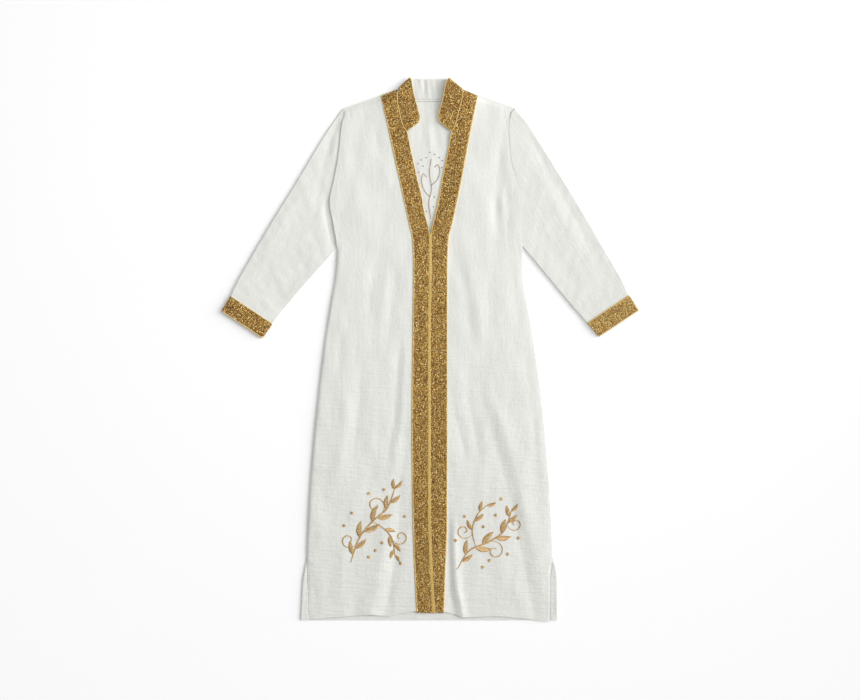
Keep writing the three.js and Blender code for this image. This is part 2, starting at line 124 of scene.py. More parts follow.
NECK_ENDS = (-83.0, 84.0)
SHOULDER_ENDS = (-226.0, 222.0)
OPENING_HEIGHTS, OPENING_HALVES = (FOOT_OF_V, COLLAR_END, 650), (1, 60, 60)  # half widths of the neck opening
OPENING_SHOWS = (330, 652, 50)  # from one height to another, with a fade at both
OPENING_BEYOND, OPENING_FADE = 16.0, 26.0  # how far past the opening the back rises, and its fade's width
NECK_RISE_FROM = 480
NECK_RISE = table(
    "y up",
    (NECK_RISE_FROM, 0), (COLLAR_END, 1.5), (616, 3.5), (655, 6), (671, 7), (SHOULDER_IN, 7),
)
NECK_REACH = 75.0
NECK_PRESS = 0.55  # how much flatter the fronts lie beside the neck opening
NECK_PRESS_REACH = 45.0
NECK_PRESS_SHOWS = (FOOT_OF_V, 560, 40)  # from one height to another, with a fade at both

# ---- Folds: each lifts or sinks the cloth along its path and fades out over its width ----
FOLD_FADE = 0.3  # share of its path over which a fold fades
FOLD_LEFT = 0.15  # how much of it is left at its ends
FOLD_CORE, FOLD_CREASE = (0.66, 1.25), (0.14, 0.45)  # share of the lift, and share of the width
FRONT_FOLDS = folds(
    (12, -1, (-138, 250), (-152, 160), (-162, 60)),
    (12, -1.1, (-88, 240), (-98, 150), (-108, 50)),
    (12, 1, (-104, 250), (-120, 150), (-132, 50)),
    (10, -1.7, (-79, 50), (-84, -70), (-94, -190), (-116, -310)),
    (9, 1.2, (-64, 40), (-68, -70), (-76, -190), (-98, -330)),
    (15, -2.4, (-62, -229), (-76, -328), (-82, -447), (-99, -588), (-113, -690)),
    (24, 2.4, (-112, -420), (-131, -560), (-156, -690)),
    (20, -1.5, (-179, -21), (-190, -211), (-208, -328)),
    (22, 1.6, (-214, -60), (-226, -230), (-246, -400)),
    (14, -1.4, (-231, 60), (-237, -68)),
    (14, 1.2, (-135, 520), (-100, 405)),
    (22, 1.2, (-196, 470), (-184, 330), (-172, 250)),
    (14, -1.5, (70, 255), (95, 138), (113, 0)),
    (18, 1.5, (94, 240), (124, 110), (140, -20)),
    (14, -1.8, (90, -68), (113, -196), (137, -315)),
    (18, -2.4, (109, -44), (156, -187), (208, -376), (251, -588), (273, -690)),
    (20, 2.2, (134, -40), (188, -200), (236, -376), (276, -560)),
    (13, -1.8, (246, 26), (265, -139), (279, -304), (291, -494)),
    (12, -1.6, (57, -130), (81, -220), (99, -304)),
    (8, -2.8, (48, -400), (50, -562), (51, -622), (57, -655), (62, -690)),
    (9, 3.2, (61, -420), (65, -562), (71, -622), (80, -655), (86, -690)),
    (20, -2.0, (184, 560), (179, 491), (174, 374), (180, 317)),
    (12, -1.5, (166, 425), (171, 350), (178, 285)),
    (10, -1.5, (197, 435), (204, 365), (201, 300)),
    (8, 0.9, (184, 405), (189, 340)),
    (14, -1.6, (203, 278), (222, 161), (243, 18)),
    (12, -1.1, (189, 574), (184, 520), (180, 470)),
    (9, -0.8, (-148, 592), (-131, 520), (-116, 470)),
    (5, -0.8, (-212, 622), (-206, 600)),
    (5, -0.8, (200, 612), (196, 580)),
)
SLEEVE_FOLDS = folds(
    (16, -1.2, (-252, 598), (-273, 502), (-295, 372), (-299, 299)),
    (18, 1.2, (-330, 420), (-400, 300), (-455, 200)),
    (14, -1, (-300, 250), (-352, 190), (-400, 130)),
    (9, -3.6, (-270, 400), (-262, 335), (-247, 262), (-244, 255)),
    (14, -1.2, (260, 546), (330, 425), (473, 169)),
    (20, 1.2, (270, 470), (340, 350), (420, 210)),
    (14, -1, (262, 330), (330, 240), (395, 140)),
    (5, -1.5, (219, 601), (228, 588), (231, 560)),
    (10, -1.4, (249, 587), (258, 559), (284, 510), (312, 462)),
    (9, -1.6, (-230, 618), (-240, 591), (-258, 544), (-266, 490)),
    (8, 1.2, (-236, 575), (-246, 540), (-254, 490)),
)
BACK_FOLDS = folds(
    (7, 1.2, (1, 640), (-2, 560), (4, 500)),
    (8, 0.8, (-22, 640), (-25, 560)),
    (9, 0.9, (20, 640), (24, 560)),
)
COLLAR_FOLDS = folds(
    (5, -1.4, (-15, 705), (-15, 655)),
    (6, 1.3, (-4, 705), (-6, 655)),
    (5, 0.9, (29, 706), (31, 662)),
)

# ---- Sleeves ----
SLEEVES = {
    "left": {
        "over": ((-226, 627), (-235, 616), (-243, 604), (-268, 568), (-340.5, 448), (-415.7, 326.7),
                 (-464, 245), (-508, 165), (-519, 140)),
        "under": ((-242, 268), (-254, 250), (-293, 206), (-353, 137), (-409, 67)),
        "cuff": ((-542, 102), (-434, 31)),
    },
    "right": {
        "over": ((222, 627), (232, 617), (247, 600), (271, 563), (349, 438), (410, 337.5), (448, 271),
                 (498, 186), (518, 143)),
        "under": ((241, 268), (300, 197), (355, 130), (408, 69)),
        "cuff": ((542, 104), (438, 35)),
    },
}
SLEEVE_LOFT = {"left": 4.4, "right": 5.4, "cuff": 6.2, "from": 0.22, "last": 0.2}
ARMHOLE_REACH = 0.35
ARMHOLES = {
    "left": {"lift": 2.9, "low_lift": 2.9, "over": 0.6, "loft": 3.1, "blend": 0.04, "fall": 7, "foot": 250,
             "top": 618, "fade": 30},
    "right": {"lift": 1.9, "low_lift": 2.55, "over": 0.0, "loft": 5.2, "blend": 0.2, "fall": 12, "foot": 240,
              "top": 622, "fade": 30},
}
ARMHOLE_MIDDLE = (380.0, 90.0)  # from this height on, over so much, the lower lift turns into the upper one
LAP_REACH = 14.0  # how far in from its side a front is moved over the sleeve
SLEEVE_FLOOR = 0.05
SLEEVE_ROUND = 3.5  # how far in from its edge a sleeve is rounded
SLEEVE_LEAST = 1.9  # least height inside
SLEEVE_LEAN = {"left": 32, "right": -32}  # the way across its soft waves, in degrees
CUFF_LIFT = (0.965, 0.03, 1.9)  # from this share of a sleeve on, over so much, it rises so far into the cuff
CUFF_LINING = {"from": 0.05, "to": 0.97, "columns": 6, "narrower": 3.2, "bottom": 2.0, "top": 6.2,
               "round": 4.0}
CUFF_BOTTOM, CUFF_TOP = 1.3, 7.2
CUFF_DOME = 0.5
CUFF_ROUND = 4.4
CUFF_NARROWER = 0.8  # than its outline, at each edge

# ---- Collar ----
COLLAR = {
    "left": table(
        "seam free_x free_y rise",
        (COLLAR_END, -38, 584.5, 1.5), (572, -31.5, 590, 1.6), (576, -28.2, 596, 1.7), (584, -27, 605, 2),
        (616, -31.5, 625, 3.2), (655, -41, 659, 5.5), (668, -46, 683, 7.5),
    ),
    "right": table(
        "seam free_x free_y rise",
        (COLLAR_END, 36, 584, 1.5), (572, 28, 590, 1.6), (576, 23.8, 596, 1.7), (584, 22.5, 605, 2),
        (616, 26, 625, 3.2), (655, 35, 662, 5.5), (668, 39, 685, 7.5),
    ),
}
COLLAR_TURN = {"left": ((-83, 679), (-53, 707)), "right": ((84, 679), (49, 707))}
COLLAR_TOP = (704.0, 706.0)  # in the middle and at the ends
COLLAR_HEIGHT = 12.0
COLLAR_BACK_HALF = 66.0
COLLAR_FLOOR = 0.1
COLLAR_LIFT = 1.0
COLLAR_CREASED, COLLAR_FADE = 40.0, 12.0  # half the width that is creased, and its fade
TRIM_STATIONS = 33  # of a collar front's stations, those that its gold facing covers

# ---- Bands and beads ----
RIBBON = 0.6
BAND_LIFT = 0.25
BAND_LEVELS_OUT = 60.0  # how far above the hem a band's lower end begins to run level
MEETING_LIFT, MEETING_STOP = 0.4, 8.0  # the cord over the line where the fronts meet ends below the V
BEAD_PITCH, BEAD_ROWS = 2.55, 0.92  # along a row, and from row to row as a share of that
BEAD_WANDER = 0.3  # share of the pitch
BEAD_SIZE = (1.35, 1.15, 0.8)
BEAD_MARGIN = 1.5
BEAD_TILT = 0.22
BEAD_SHADE, BEAD_VARIES = 0.46, 0.36  # from 0, the darkest, to 1; the random spread is partly the beads' own colours and partly painted glint and shade
BEAD_LIFT = 0.2  # how far a bead's middle lies above its band
PIPING = 2.2
PIPING_FLAT = 0.4
PIPING_IN = 1.9  # how far the piping lies inside its band's edge
EDGING, CUFF_EDGING = 1.1, 1.32
EDGING_IN = (2.6, 0.9)  # how far inside the front edge the cord runs, below and above the foot of the V
NECK_SEAM = 0.5
NECK_SEAM_DROPS = (-0.3, 6.2)
NECK_SEAM_HALF = 62.0
STITCH_IN, BACK_STITCH_IN = 7.0, 5.0  # how far inside the edge the hems are stitched
STITCH_PITCH = 3.6
STITCH_SIZE = (1.35, 0.32, 0.22)
STITCH_LIFT = 0.12
CUFF_PAINTED_LIGHT = {"left": 0.0, "right": 0.22}  # lighter beads on the right cuff: painted light, for the brighter glint of that cuff's beads in the window light

# The frame centres the part by its box. The tables are moved as far as the left front's hem corner was.
HEM_CORNER = (-329.0, -702.0)
_low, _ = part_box("front_left")
SHIFT = np.array([_low.x / MM - HEM_CORNER[0], _low.y / MM - HEM_CORNER[1], 0.0])


# ---- Numbers ----
def read(rows, key, column, at):
    """A column's value between its rows, along a curve that doesn't swing past them."""
    x, y = rows[key], rows[column]
    span = np.diff(x)
    slope = np.diff(y) / span
    before, after = slope[:-1], slope[1:]
    same = before * after > 0
    inner = np.where(same, 2 * before * after / np.where(same, before + after, 1), 0)
    lean = np.concatenate([slope[:1], inner, slope[-1:]])
    at = np.clip(at, x[0], x[-1])
    i = np.clip(np.searchsorted(x, at, side="right") - 1, 0, len(span) - 1)
    s = (at - x[i]) / span[i]
    level = (2 * s**3 - 3 * s**2 + 1) * y[i] + (3 * s**2 - 2 * s**3) * y[i + 1]
    return level + ((s**3 - 2 * s**2 + s) * lean[i] + (s**3 - s**2) * lean[i + 1]) * span[i]


def mix(a, b, share):
    """The value a share of the way from a to b."""
    return a + (b - a) * share


def ease(value):
    """A soft step from 0 to 1."""
    value = np.clip(value, 0, 1)
    return value * value * (3 - 2 * value)


def window(value, start, end, fade):
    """1 between the start and the end, with a soft fade inside both."""
    return ease((value - start) / fade) * ease((end - value) / fade)


def waves(x, y, seed, lengths, lean, spread, count=9):
    """Soft random waves. Their crests lie across the lean, an angle in degrees, give or take the spread."""
    rng = np.random.default_rng(seed)
    total = 0
    for _ in range(count):
        turn = math.radians(lean + rng.normal(0, spread))
        pace = 2 * math.pi / rng.uniform(*lengths)
        total = total + np.sin((x * math.cos(turn) + y * math.sin(turn)) * pace + rng.uniform(0, 2 * math.pi))
    return total / math.sqrt(count)


def run_along(line):
    """How far along a line of points each of them is."""
    return np.concatenate([[0], np.cumsum(np.linalg.norm(np.diff(line, axis=0), axis=1))])


def bunch(count, by):
    """Shares from 0 to 1, closer together at both ends."""
    u = np.linspace(0, 1, count)
    return u - by * np.sin(2 * math.pi * u) / (2 * math.pi)


def fold_lift(placed, x, y):
    """How far the placed folds lift the cloth. A fold fades at its ends, but runs off a hem."""
    total = np.zeros(np.broadcast(x, y).shape)
    for fold in placed:
        path = np.array(fold["path"], float)
        legs = np.diff(path, axis=0)
        long = np.hypot(*legs.T)
        run = np.concatenate([[0], np.cumsum(long)])
        near = np.full(total.shape, 1e9)
        share = np.zeros(total.shape)
        for start, leg, length, before in zip(path, legs, long, run):
            t = np.clip(((x - start[0]) * leg[0] + (y - start[1]) * leg[1]) / length**2, 0, 1)
            away = np.hypot(x - start[0] - t * leg[0], y - start[1] - t * leg[1])
            closer = away < near
            near = np.where(closer, away, near)
            share = np.where(closer, (before + t * length) / run[-1], share)
        ends = ease(share / FOLD_FADE)
        if path[-1][1] > HEM_OUT + 30:
            ends = ends * ease((1 - share) / FOLD_FADE)
        ends = mix(FOLD_LEFT, 1, ends)
        core = FOLD_CORE[0] * np.exp(-((near / (FOLD_CORE[1] * fold["width"])) ** 2))
        crease = FOLD_CREASE[0] * np.exp(-((near / (FOLD_CREASE[1] * fold["width"])) ** 2))
        total = total + fold["lift"] * ends * (core + crease)
    return total


# ---- Meshes ----
def grid_faces(rows, columns, wrap=False):
    """Quads of a grid of points, closed round its rows if it wraps."""
    r, c = np.meshgrid(np.arange(rows if wrap else rows - 1), np.arange(columns - 1), indexing="ij")
    r, c, up = r.ravel(), c.ravel(), ((r + 1) % rows).ravel()
    return np.column_stack([r * columns + c, r * columns + c + 1, up * columns + c + 1, up * columns + c])


def make(name, points, faces, material, flat=False):
    """A mesh object from points in millimetres."""
    corners = faces if isinstance(faces, list) else faces.tolist()
    mesh = bpy.data.meshes.new(name)
    mesh.from_pydata(((np.asarray(points) + SHIFT) * MM).tolist(), [], corners)
    mesh.update()
    mesh.materials.append(material)
    mesh.polygons.foreach_set("use_smooth", [not flat] * len(mesh.polygons))
    piece = bpy.data.objects.new(name, mesh)
    bpy.context.scene.collection.objects.link(piece)
    return piece


def thicken(piece):
    """Give a sheet its thickness, on its lower or inner side."""
    modifier = piece.modifiers.new("Solidify", "SOLIDIFY")
    modifier.thickness, modifier.offset = SHELL * MM, -1
    modifier.use_even_offset = False
    bpy.ops.object.select_all(action="DESELECT")
    bpy.context.view_layer.objects.active = piece
    piece.select_set(True)
    bpy.ops.object.modifier_apply(modifier=modifier.name)
    piece.select_set(False)


def face_up(grid, faces):
    """The faces, turned round where that is needed to face up."""
    a, b, c = (grid.reshape(-1, 3)[faces[:, k]] for k in (0, 1, 2))
    return faces if np.cross(b - a, c - a)[:, 2].sum() > 0 else faces[:, ::-1]


def face_out(grid, faces):
    """The faces, turned round where that is needed to face away from the middle."""
    a, b, c = (grid.reshape(-1, 3)[faces[:, k]] for k in (0, 1, 2))
    middle = grid.reshape(-1, 3).mean(0)
    outward = np.einsum("ij,ij->i", np.cross(b - a, c - a), (a + c) / 2 - middle).sum()
    return faces if outward > 0 else faces[:, ::-1]


def cloth(name, grid, material, wrap=False):
    """A thin shell of cloth whose upper or outer face is the grid."""
    faces = grid_faces(*grid.shape[:2], wrap)
    faces = face_out(grid, faces) if wrap else face_up(grid, faces)
    piece = make(name, grid.reshape(-1, 3), faces, material)
    thicken(piece)
    piece.data.set_sharp_from_angle(angle=math.radians(RIM_ANGLE))
    return piece


def closed(outer, inner, wrap=False):
    """Points and faces of a closed solid between two grids."""
    rows, columns = outer.shape[:2]
    faces = grid_faces(rows, columns, wrap)
    n = rows * columns
    index = np.arange(n).reshape(rows, columns)
    down = np.vstack([index, index[:1]]) if wrap else index
    edges = [(down[:, 0], False), (down[:, -1], True)]
    if not wrap:
        edges += [(index[0], True), (index[-1], False)]
    sides = []
    for line, flip in edges:
        strip = np.column_stack([line[:-1], line[1:], line[1:] + n, line[:-1] + n])
        sides.append(strip[:, ::-1] if flip else strip)
    whole = np.vstack([faces, faces[:, ::-1] + n, *sides])
    points = np.vstack([outer.reshape(-1, 3), inner.reshape(-1, 3)])
    a, b, c, d = (points[whole[:, k]] for k in range(4))
    volume = (np.einsum("ij,ij->i", a, np.cross(b, c)) + np.einsum("ij,ij->i", a, np.cross(c, d))).sum()
    return points, whole if volume > 0 else whole[:, ::-1]


def wall(name, outer, inner, material, wrap=False):
    """A closed solid between two grids."""
    piece = make(name, *closed(outer, inner, wrap), material)
    piece.data.set_sharp_from_angle(angle=math.radians(RIM_ANGLE))
    return piece


def facing(grid, wrap=False, outward=1):
    """The way each point of a grid faces."""
    along = (np.roll(grid, -1, 0) - np.roll(grid, 1, 0)) if wrap else np.gradient(grid, axis=0)
    normal = np.cross(along, np.gradient(grid, axis=1)) * outward
    return normal / np.linalg.norm(normal, axis=2, keepdims=True)


def tube(path, radius, flatten, sides=8):
    """Points and faces of a cord along a path, with closed ends."""
    path = np.asarray(path, float)
    along = np.gradient(path, axis=0)
    along /= np.linalg.norm(along, axis=1, keepdims=True)
    across = np.cross([0, 0, 1], along)
    across /= np.maximum(np.linalg.norm(across, axis=1, keepdims=True), 1e-6)
    up = np.cross(along, across)
    turn = np.arange(sides) * 2 * math.pi / sides
    ring = across[:, None] * np.cos(turn)[None, :, None] + up[:, None] * np.sin(turn)[None, :, None] * flatten
    grid = path[:, None] + ring * radius
    index = np.arange(len(path) * sides).reshape(-1, sides)
    ahead = np.roll(index, -1, axis=1)
    faces = np.stack([index[:-1], ahead[:-1], ahead[1:], index[1:]], axis=-1).reshape(-1, 4).tolist()
    return grid.reshape(-1, 3), faces + [index[0, ::-1].tolist(), index[-1].tolist()]


def cord(name, paths, radius, material, flatten=0.6):
    """One object of several thin cords."""
    points, faces = [], []
    for path in paths:
        base = sum(len(p) for p in points)
        corners, rings = tube(path, radius, flatten)
        points.append(corners)
        faces += [[base + k for k in face] for face in rings]
    return make(name, np.vstack(points), faces, material)


OCTAHEDRON = np.array([
    (0, 2, 4), (2, 1, 4), (1, 3, 4), (3, 0, 4), (2, 0, 5), (1, 2, 5), (3, 1, 5), (0, 3, 5),
])


def beads(name, centres, along, normals, sizes, shades, material):
    """Cut beads: each is an octahedron of its own size, turn and shade."""
    across = np.cross(normals, along)
    reaches = (along * sizes[:, :1], across * sizes[:, 1:2], normals * sizes[:, 2:])
    corners = np.stack([centres + turn * reach for reach in reaches for turn in (1, -1)], axis=1)
    faces = (OCTAHEDRON[None] + 6 * np.arange(len(centres))[:, None, None]).reshape(-1, 3)
    piece = make(name, corners.reshape(-1, 3), faces, material, flat=True)
    shade = piece.data.attributes.new("shade", "FLOAT", "POINT")
    shade.data.foreach_set("value", np.repeat(shades, 6).astype(np.float32))
    return piece


def unit(vectors):
    """The vectors at length 1."""
    return vectors / np.maximum(np.linalg.norm(vectors, axis=-1, keepdims=True), 1e-9)


def strew(surface, normal, pitch, rng, margin):
    """Places about one pitch apart all over a grid: their points and the way they face."""
    rows, columns = surface.shape[:2]
    run = run_along(surface[:, columns // 2])
    width = np.linalg.norm(np.diff(surface, axis=1), axis=2).sum(1)
    at = []
    for k, along in enumerate(np.arange(pitch / 2, run[-1], pitch * BEAD_ROWS)):
        wide = np.interp(along, run, width) - 2 * margin
        count = max(1, int(round(wide / pitch)))
        share = (margin + (np.arange(count) + 0.5 + 0.25 * (-1) ** k) / count * wide) / (wide + 2 * margin)
        row = np.full(count, np.interp(along, run, np.arange(rows)))
        at.append(np.column_stack([row, share * (columns - 1)]))
    at = np.concatenate(at)
    for k, step in enumerate(((rows - 1) / run[-1], (columns - 1) / width.mean())):
        at[:, k] += rng.uniform(-BEAD_WANDER, BEAD_WANDER, len(at)) * pitch * step
    r, c = np.clip(at[:, 0], 0, rows - 1.001), np.clip(at[:, 1], 0, columns - 1.001)
    i, j, u, v = r.astype(int), c.astype(int), (r % 1)[:, None], (c % 1)[:, None]

    def sample(grid):
        return mix(mix(grid[i, j], grid[i, j + 1], v), mix(grid[i + 1, j], grid[i + 1, j + 1], v), u)

    return sample(surface), unit(sample(normal))


def bead_cover(name, surface, normal, rng, material, painted_light=0.0):
    """Beads all over a band."""
    centres, up = strew(surface, normal, BEAD_PITCH, rng, BEAD_MARGIN)
    count = len(centres)
    tilt = unit(up + rng.normal(0, BEAD_TILT, (count, 3)))
    spin = rng.normal(0, 1, (count, 3))
    along = unit(spin - tilt * np.einsum("ij,ij->i", spin, tilt)[:, None])
    sizes = np.array(BEAD_SIZE) * rng.uniform(0.8, 1.2, (count, 1))
    patches = 0.08 * waves(centres[:, 0], centres[:, 1], 21, (6, 11), 0, 180)
    # The last argument lightens every bead of a cover: painted light, used on the right cuff.
    shades = np.clip(BEAD_SHADE + painted_light + patches + rng.normal(0, BEAD_VARIES, count), 0, 1)
    return beads(name, centres + up * BEAD_LIFT, along, tilt, sizes, shades, material)


# ---- Where things lie ----
def outer_height(inner):
    """Height at the side of the row that starts at this height on the front edge."""
    return mix(HEM_OUT, SHOULDER_OUT, (inner - HEM_IN) / (SHOULDER_IN - HEM_IN))


def side(name, y):
    """Where the side seam is, across, at a height."""
    return SIGN[name] * read(OUTLINE, "y", name, y)


def front_edge(name, y):
    """Where a front's free edge is, across, at a height."""
    return read(FRONT_EDGES, "y", name, y) + SIGN[name] * GAP / 2


def at_armhole(name, y):
    """How fully the front laps over the sleeve at a height, from 0 to 1."""
    lap = ARMHOLES[name]
    return window(y, lap["foot"], lap["top"], lap["fade"])


def front_top(name, x, y):
    """Height of a front's upper face."""
    to_side = np.abs(side(name, y) - x)
    to_shoulder = read(SHOULDER_LINE, "x", "y", np.abs(x)) - y
    to_edge = np.abs(x - front_edge(name, y))
    neck = np.where(y < NECK_RISE_FROM, 0, read(NECK_RISE, "y", "up", y) * ease(1 - to_edge / NECK_REACH))
    swell = 0.4 * waves(x, y, 3, (90, 220), 5, 25) + 0.2 * waves(x, y, 4, (30, 70), 4 * SIGN[name], 14)
    puff = PUFF * mix(HEM_PUFF[0], 1, ease((y - HEM_IN) / HEM_PUFF[1]))
    rise = np.maximum(LEAST_RISE, puff + fold_lift(FRONT_FOLDS, x, y) + swell + neck)
    armhole, lap = ARMHOLES[name], at_armhole(name, y)
    fall = mix(SEAM_FALL[name], armhole["fall"], lap)
    fall = mix(fall, SLIT_FALL, ease((SLIT_TOP - y) / SLIT_FADE))
    by_neck = window(y, *NECK_PRESS_SHOWS) * ease(1 - to_edge / NECK_PRESS_REACH)
    rise = rise * (1 - NECK_PRESS * by_neck) * ease(to_shoulder / SHOULDER_FALL)
    lift = mix(armhole["low_lift"], armhole["lift"], ease((y - ARMHOLE_MIDDLE[0]) / ARMHOLE_MIDDLE[1]))
    rise = mix(rise, lift * lap, np.exp(-to_side / fall))
    return FRONT_LEVEL + SHELL + rise


def turned_hem(inner, to_side, y):
    """How fully the cloth is turned under, from 0 to 1, along the hem and up the slits."""
    by_hem = ease((HEM_DEPTH - (inner - HEM_IN)) / HEM_TURN)
    by_slit = ease((HEM_DEPTH - to_side) / HEM_TURN) * (y < SLIT_TOP)
    return np.maximum(by_hem, by_slit)


def front_surface(name, inner, share):
    """The upper face of a front, at heights up its edge and shares of the way to its side."""
    outer = outer_height(inner)
    edge, at_side = front_edge(name, inner), side(name, outer)
    x, y = mix(edge, at_side, share), mix(inner, outer, share)
    to_side = np.abs(at_side - x)
    z = front_top(name, x, y) + HEM_STEP * turned_hem(inner, to_side, y)
    x = x + SIGN[name] * ARMHOLES[name]["over"] * at_armhole(name, y) * ease(1 - to_side / LAP_REACH)
    y = y + read(HEM_WAVE, "x", "up", x) * ease(1 - (inner - HEM_IN) / HEM_WAVE_REACH)
    return np.stack([x, y, z], axis=-1)


def front_grid(name, rows=378, columns=86):
    """Rows from the hem to the shoulder. Columns are a little closer together toward the side."""
    inner = np.linspace(HEM_IN, SHOULDER_IN, rows)[:, None]
    return front_surface(name, inner, np.linspace(0, 1, columns) ** 0.92)


def back_lift(x, y):
    """How far the back rises where the neck opening shows it."""
    half = np.interp(y, OPENING_HEIGHTS, OPENING_HALVES)
    shown = window(y, *OPENING_SHOWS) * ease((half + OPENING_BEYOND - np.abs(x)) / OPENING_FADE)
    swell = 0.25 * waves(x, y, 8, (22, 60), 4, 14)
    return shown * np.maximum(swell + BACK_RISE + 0.7 * fold_lift(BACK_FOLDS, x, y), 0)


def back_surface(inner, share):
    """The upper face of the back, at heights up the garment and shares of the way from left to right."""
    outer = outer_height(inner)
    ends = {}
    for name in SIGN:
        tail_side = SIGN[name] * read(TAILS, "y", name, outer)
        ends[name] = np.where(outer < SLIT_TOP, tail_side, side(name, outer))
    x = mix(ends["left"], ends["right"], share)
    top_x = mix(*SHOULDER_ENDS, share)
    neck = read(BACK_NECK, "x", "y", top_x)
    shoulder = read(SHOULDER_LINE, "x", "y", np.abs(top_x))
    top = np.where((top_x > NECK_ENDS[0]) & (top_x < NECK_ENDS[1]), neck, shoulder)
    to_top = np.clip((inner - FOOT_OF_V) / (SHOULDER_IN - FOOT_OF_V), 0, 1)
    y = outer + (top - SHOULDER_OUT) * to_top
    to_side = np.abs(np.where(x < 0, ends["left"], ends["right"]) - x)
    beyond = np.abs(x) - np.abs(np.where(x < 0, side("left", y), side("right", y)))
    tail = TAIL_BULGE
    bulge = tail["rise"] * ease((beyond - tail["from"]) / tail["over"]) * ease(to_side / tail["edge"])
    bulge = bulge * ease((SLIT_TOP - y) / tail["fade"])
    step = BACK_HEM_STEP * turned_hem(inner, to_side, y)
    return np.stack([x, y, BACK_TOP + back_lift(x, y) + step + bulge], axis=-1)


def back_grid(rows=210, columns=175):
    return back_surface(np.linspace(HEM_IN, SHOULDER_IN, rows)[:, None], bunch(columns, 0.6))


# ---- Sleeves and cuffs ----
def along_path(path, share):
    """The point at a share of a path's length."""
    path = np.array(path, float)
    run = run_along(path)
    rows = {"run": run, "x": path[:, 0], "y": path[:, 1]}
    return np.stack([read(rows, "run", axis, share * run[-1]) for axis in "xy"], axis=-1)


def around(points, beneath):
    """Shares across a flattened tube for its upper and then its under side, closer together at the edges."""
    return bunch(points, 0.8), bunch(beneath, 0.8)[1:-1][::-1]


def flat_tube(line, bottom, top, over, under, rounding):
    """Grid of a flattened tube, around by along. line(share) gives a row of plan points along the tube."""
    grids = []
    length = np.linalg.norm(line(1.0) - line(0.0), axis=-1)
    for shares, upper in ((over, True), (under, False)):
        for s in shares:
            plan = line(s)
            edge = np.minimum(s, 1 - s) * length
            swell = np.sqrt(1 - (1 - np.clip(edge / rounding, 0, 1)) ** 2)
            high = top(plan[:, 0], plan[:, 1])
            middle = (bottom + high) / 2
            z = mix(middle, high, swell) if upper else mix(middle, bottom, swell)
            grids.append(np.column_stack([plan, z]))
    return np.array(grids)


def sleeve_line(name, t):
    """Plan of the sleeve, from its upper edge to its lower one, at shares of its length."""
    shape = SLEEVES[name]
    over, under = along_path(shape["over"], t), along_path(shape["under"], t)
    curve = np.clip(1 - t / ARMHOLE_REACH, 0, 1)[:, None] ** 2

    def line(share):
        y = mix(SHOULDER_OUT, UNDERARM, share)
        armhole = np.array([side(name, y) + SIGN[name] * GAP, y])
        ends = [np.array([side(name, v) + SIGN[name] * GAP, v]) for v in (SHOULDER_OUT, UNDERARM)]
        return mix(over, under, share) + (armhole - mix(*ends, share)) * curve

    return line


def cuff_line(name, depth, widen):
    """Plan of the cuff at shares of its depth, wider by so much at each edge."""
    shape = SLEEVES[name]
    top = np.array([shape["over"][-1], shape["under"][-1]], float)
    end = np.array(shape["cuff"], float)
    over, under = (mix(top[k], end[k], depth[:, None]) for k in (0, 1))
    outward = unit(over - under) * widen
    return lambda share: mix(over + outward, under - outward, share)


def sleeve_grid(name):
    t = np.linspace(0, 1, 118) ** 0.96
    loft = mix(ARMHOLES[name]["loft"], SLEEVE_LOFT[name], ease(t / SLEEVE_LOFT["from"]))
    loft = mix(loft, SLEEVE_LOFT["cuff"], ease((t - 1 + SLEEVE_LOFT["last"]) / SLEEVE_LOFT["last"]))
    lift_from, lift_over, cuff_lift = CUFF_LIFT
    bottom = SLEEVE_FLOOR + cuff_lift * ease((t - lift_from) / lift_over)
    folded = ease(t / ARMHOLES[name]["blend"])
    lean = SLEEVE_LEAN[name]

    def top(x, y):
        soft = 0.26 * waves(x, y, 11, (60, 130), lean, 14) + 0.16 * waves(x, y, 12, (24, 50), lean, 22)
        return np.maximum(loft + (fold_lift(SLEEVE_FOLDS, x, y) + soft) * folded, bottom + SLEEVE_LEAST)

    over, under = around(66, 30)
    main = flat_tube(sleeve_line(name, t), bottom, top, over, under, SLEEVE_ROUND)
    inside = flat_tube(*cuff_lining(name), over, under, CUFF_LINING["round"])
    return np.concatenate([main, inside], axis=1)


def cuff_lining(name):
    """Plan, underside and top of the sleeve's end, which runs on inside the cuff band."""
    lining = CUFF_LINING
    columns = lining["columns"]
    line = cuff_line(name, np.linspace(lining["from"], lining["to"], columns), -lining["narrower"])
    return line, np.full(columns, lining["bottom"]), lambda x, y: np.full(columns, lining["top"])


def cuff_grid(name, lift=0.0):
    """The cuff band's outer face, around by along."""
    depth = np.linspace(0, 1, 13)
    over, under = around(58, 58)
    bottom = np.full(len(depth), CUFF_BOTTOM - lift * 0.5)
    top = CUFF_TOP + CUFF_DOME * np.sin(math.pi * depth) + lift
    line = cuff_line(name, depth, lift - CUFF_NARROWER)
    return flat_tube(line, bottom, lambda x, y: top, over, under, CUFF_ROUND)


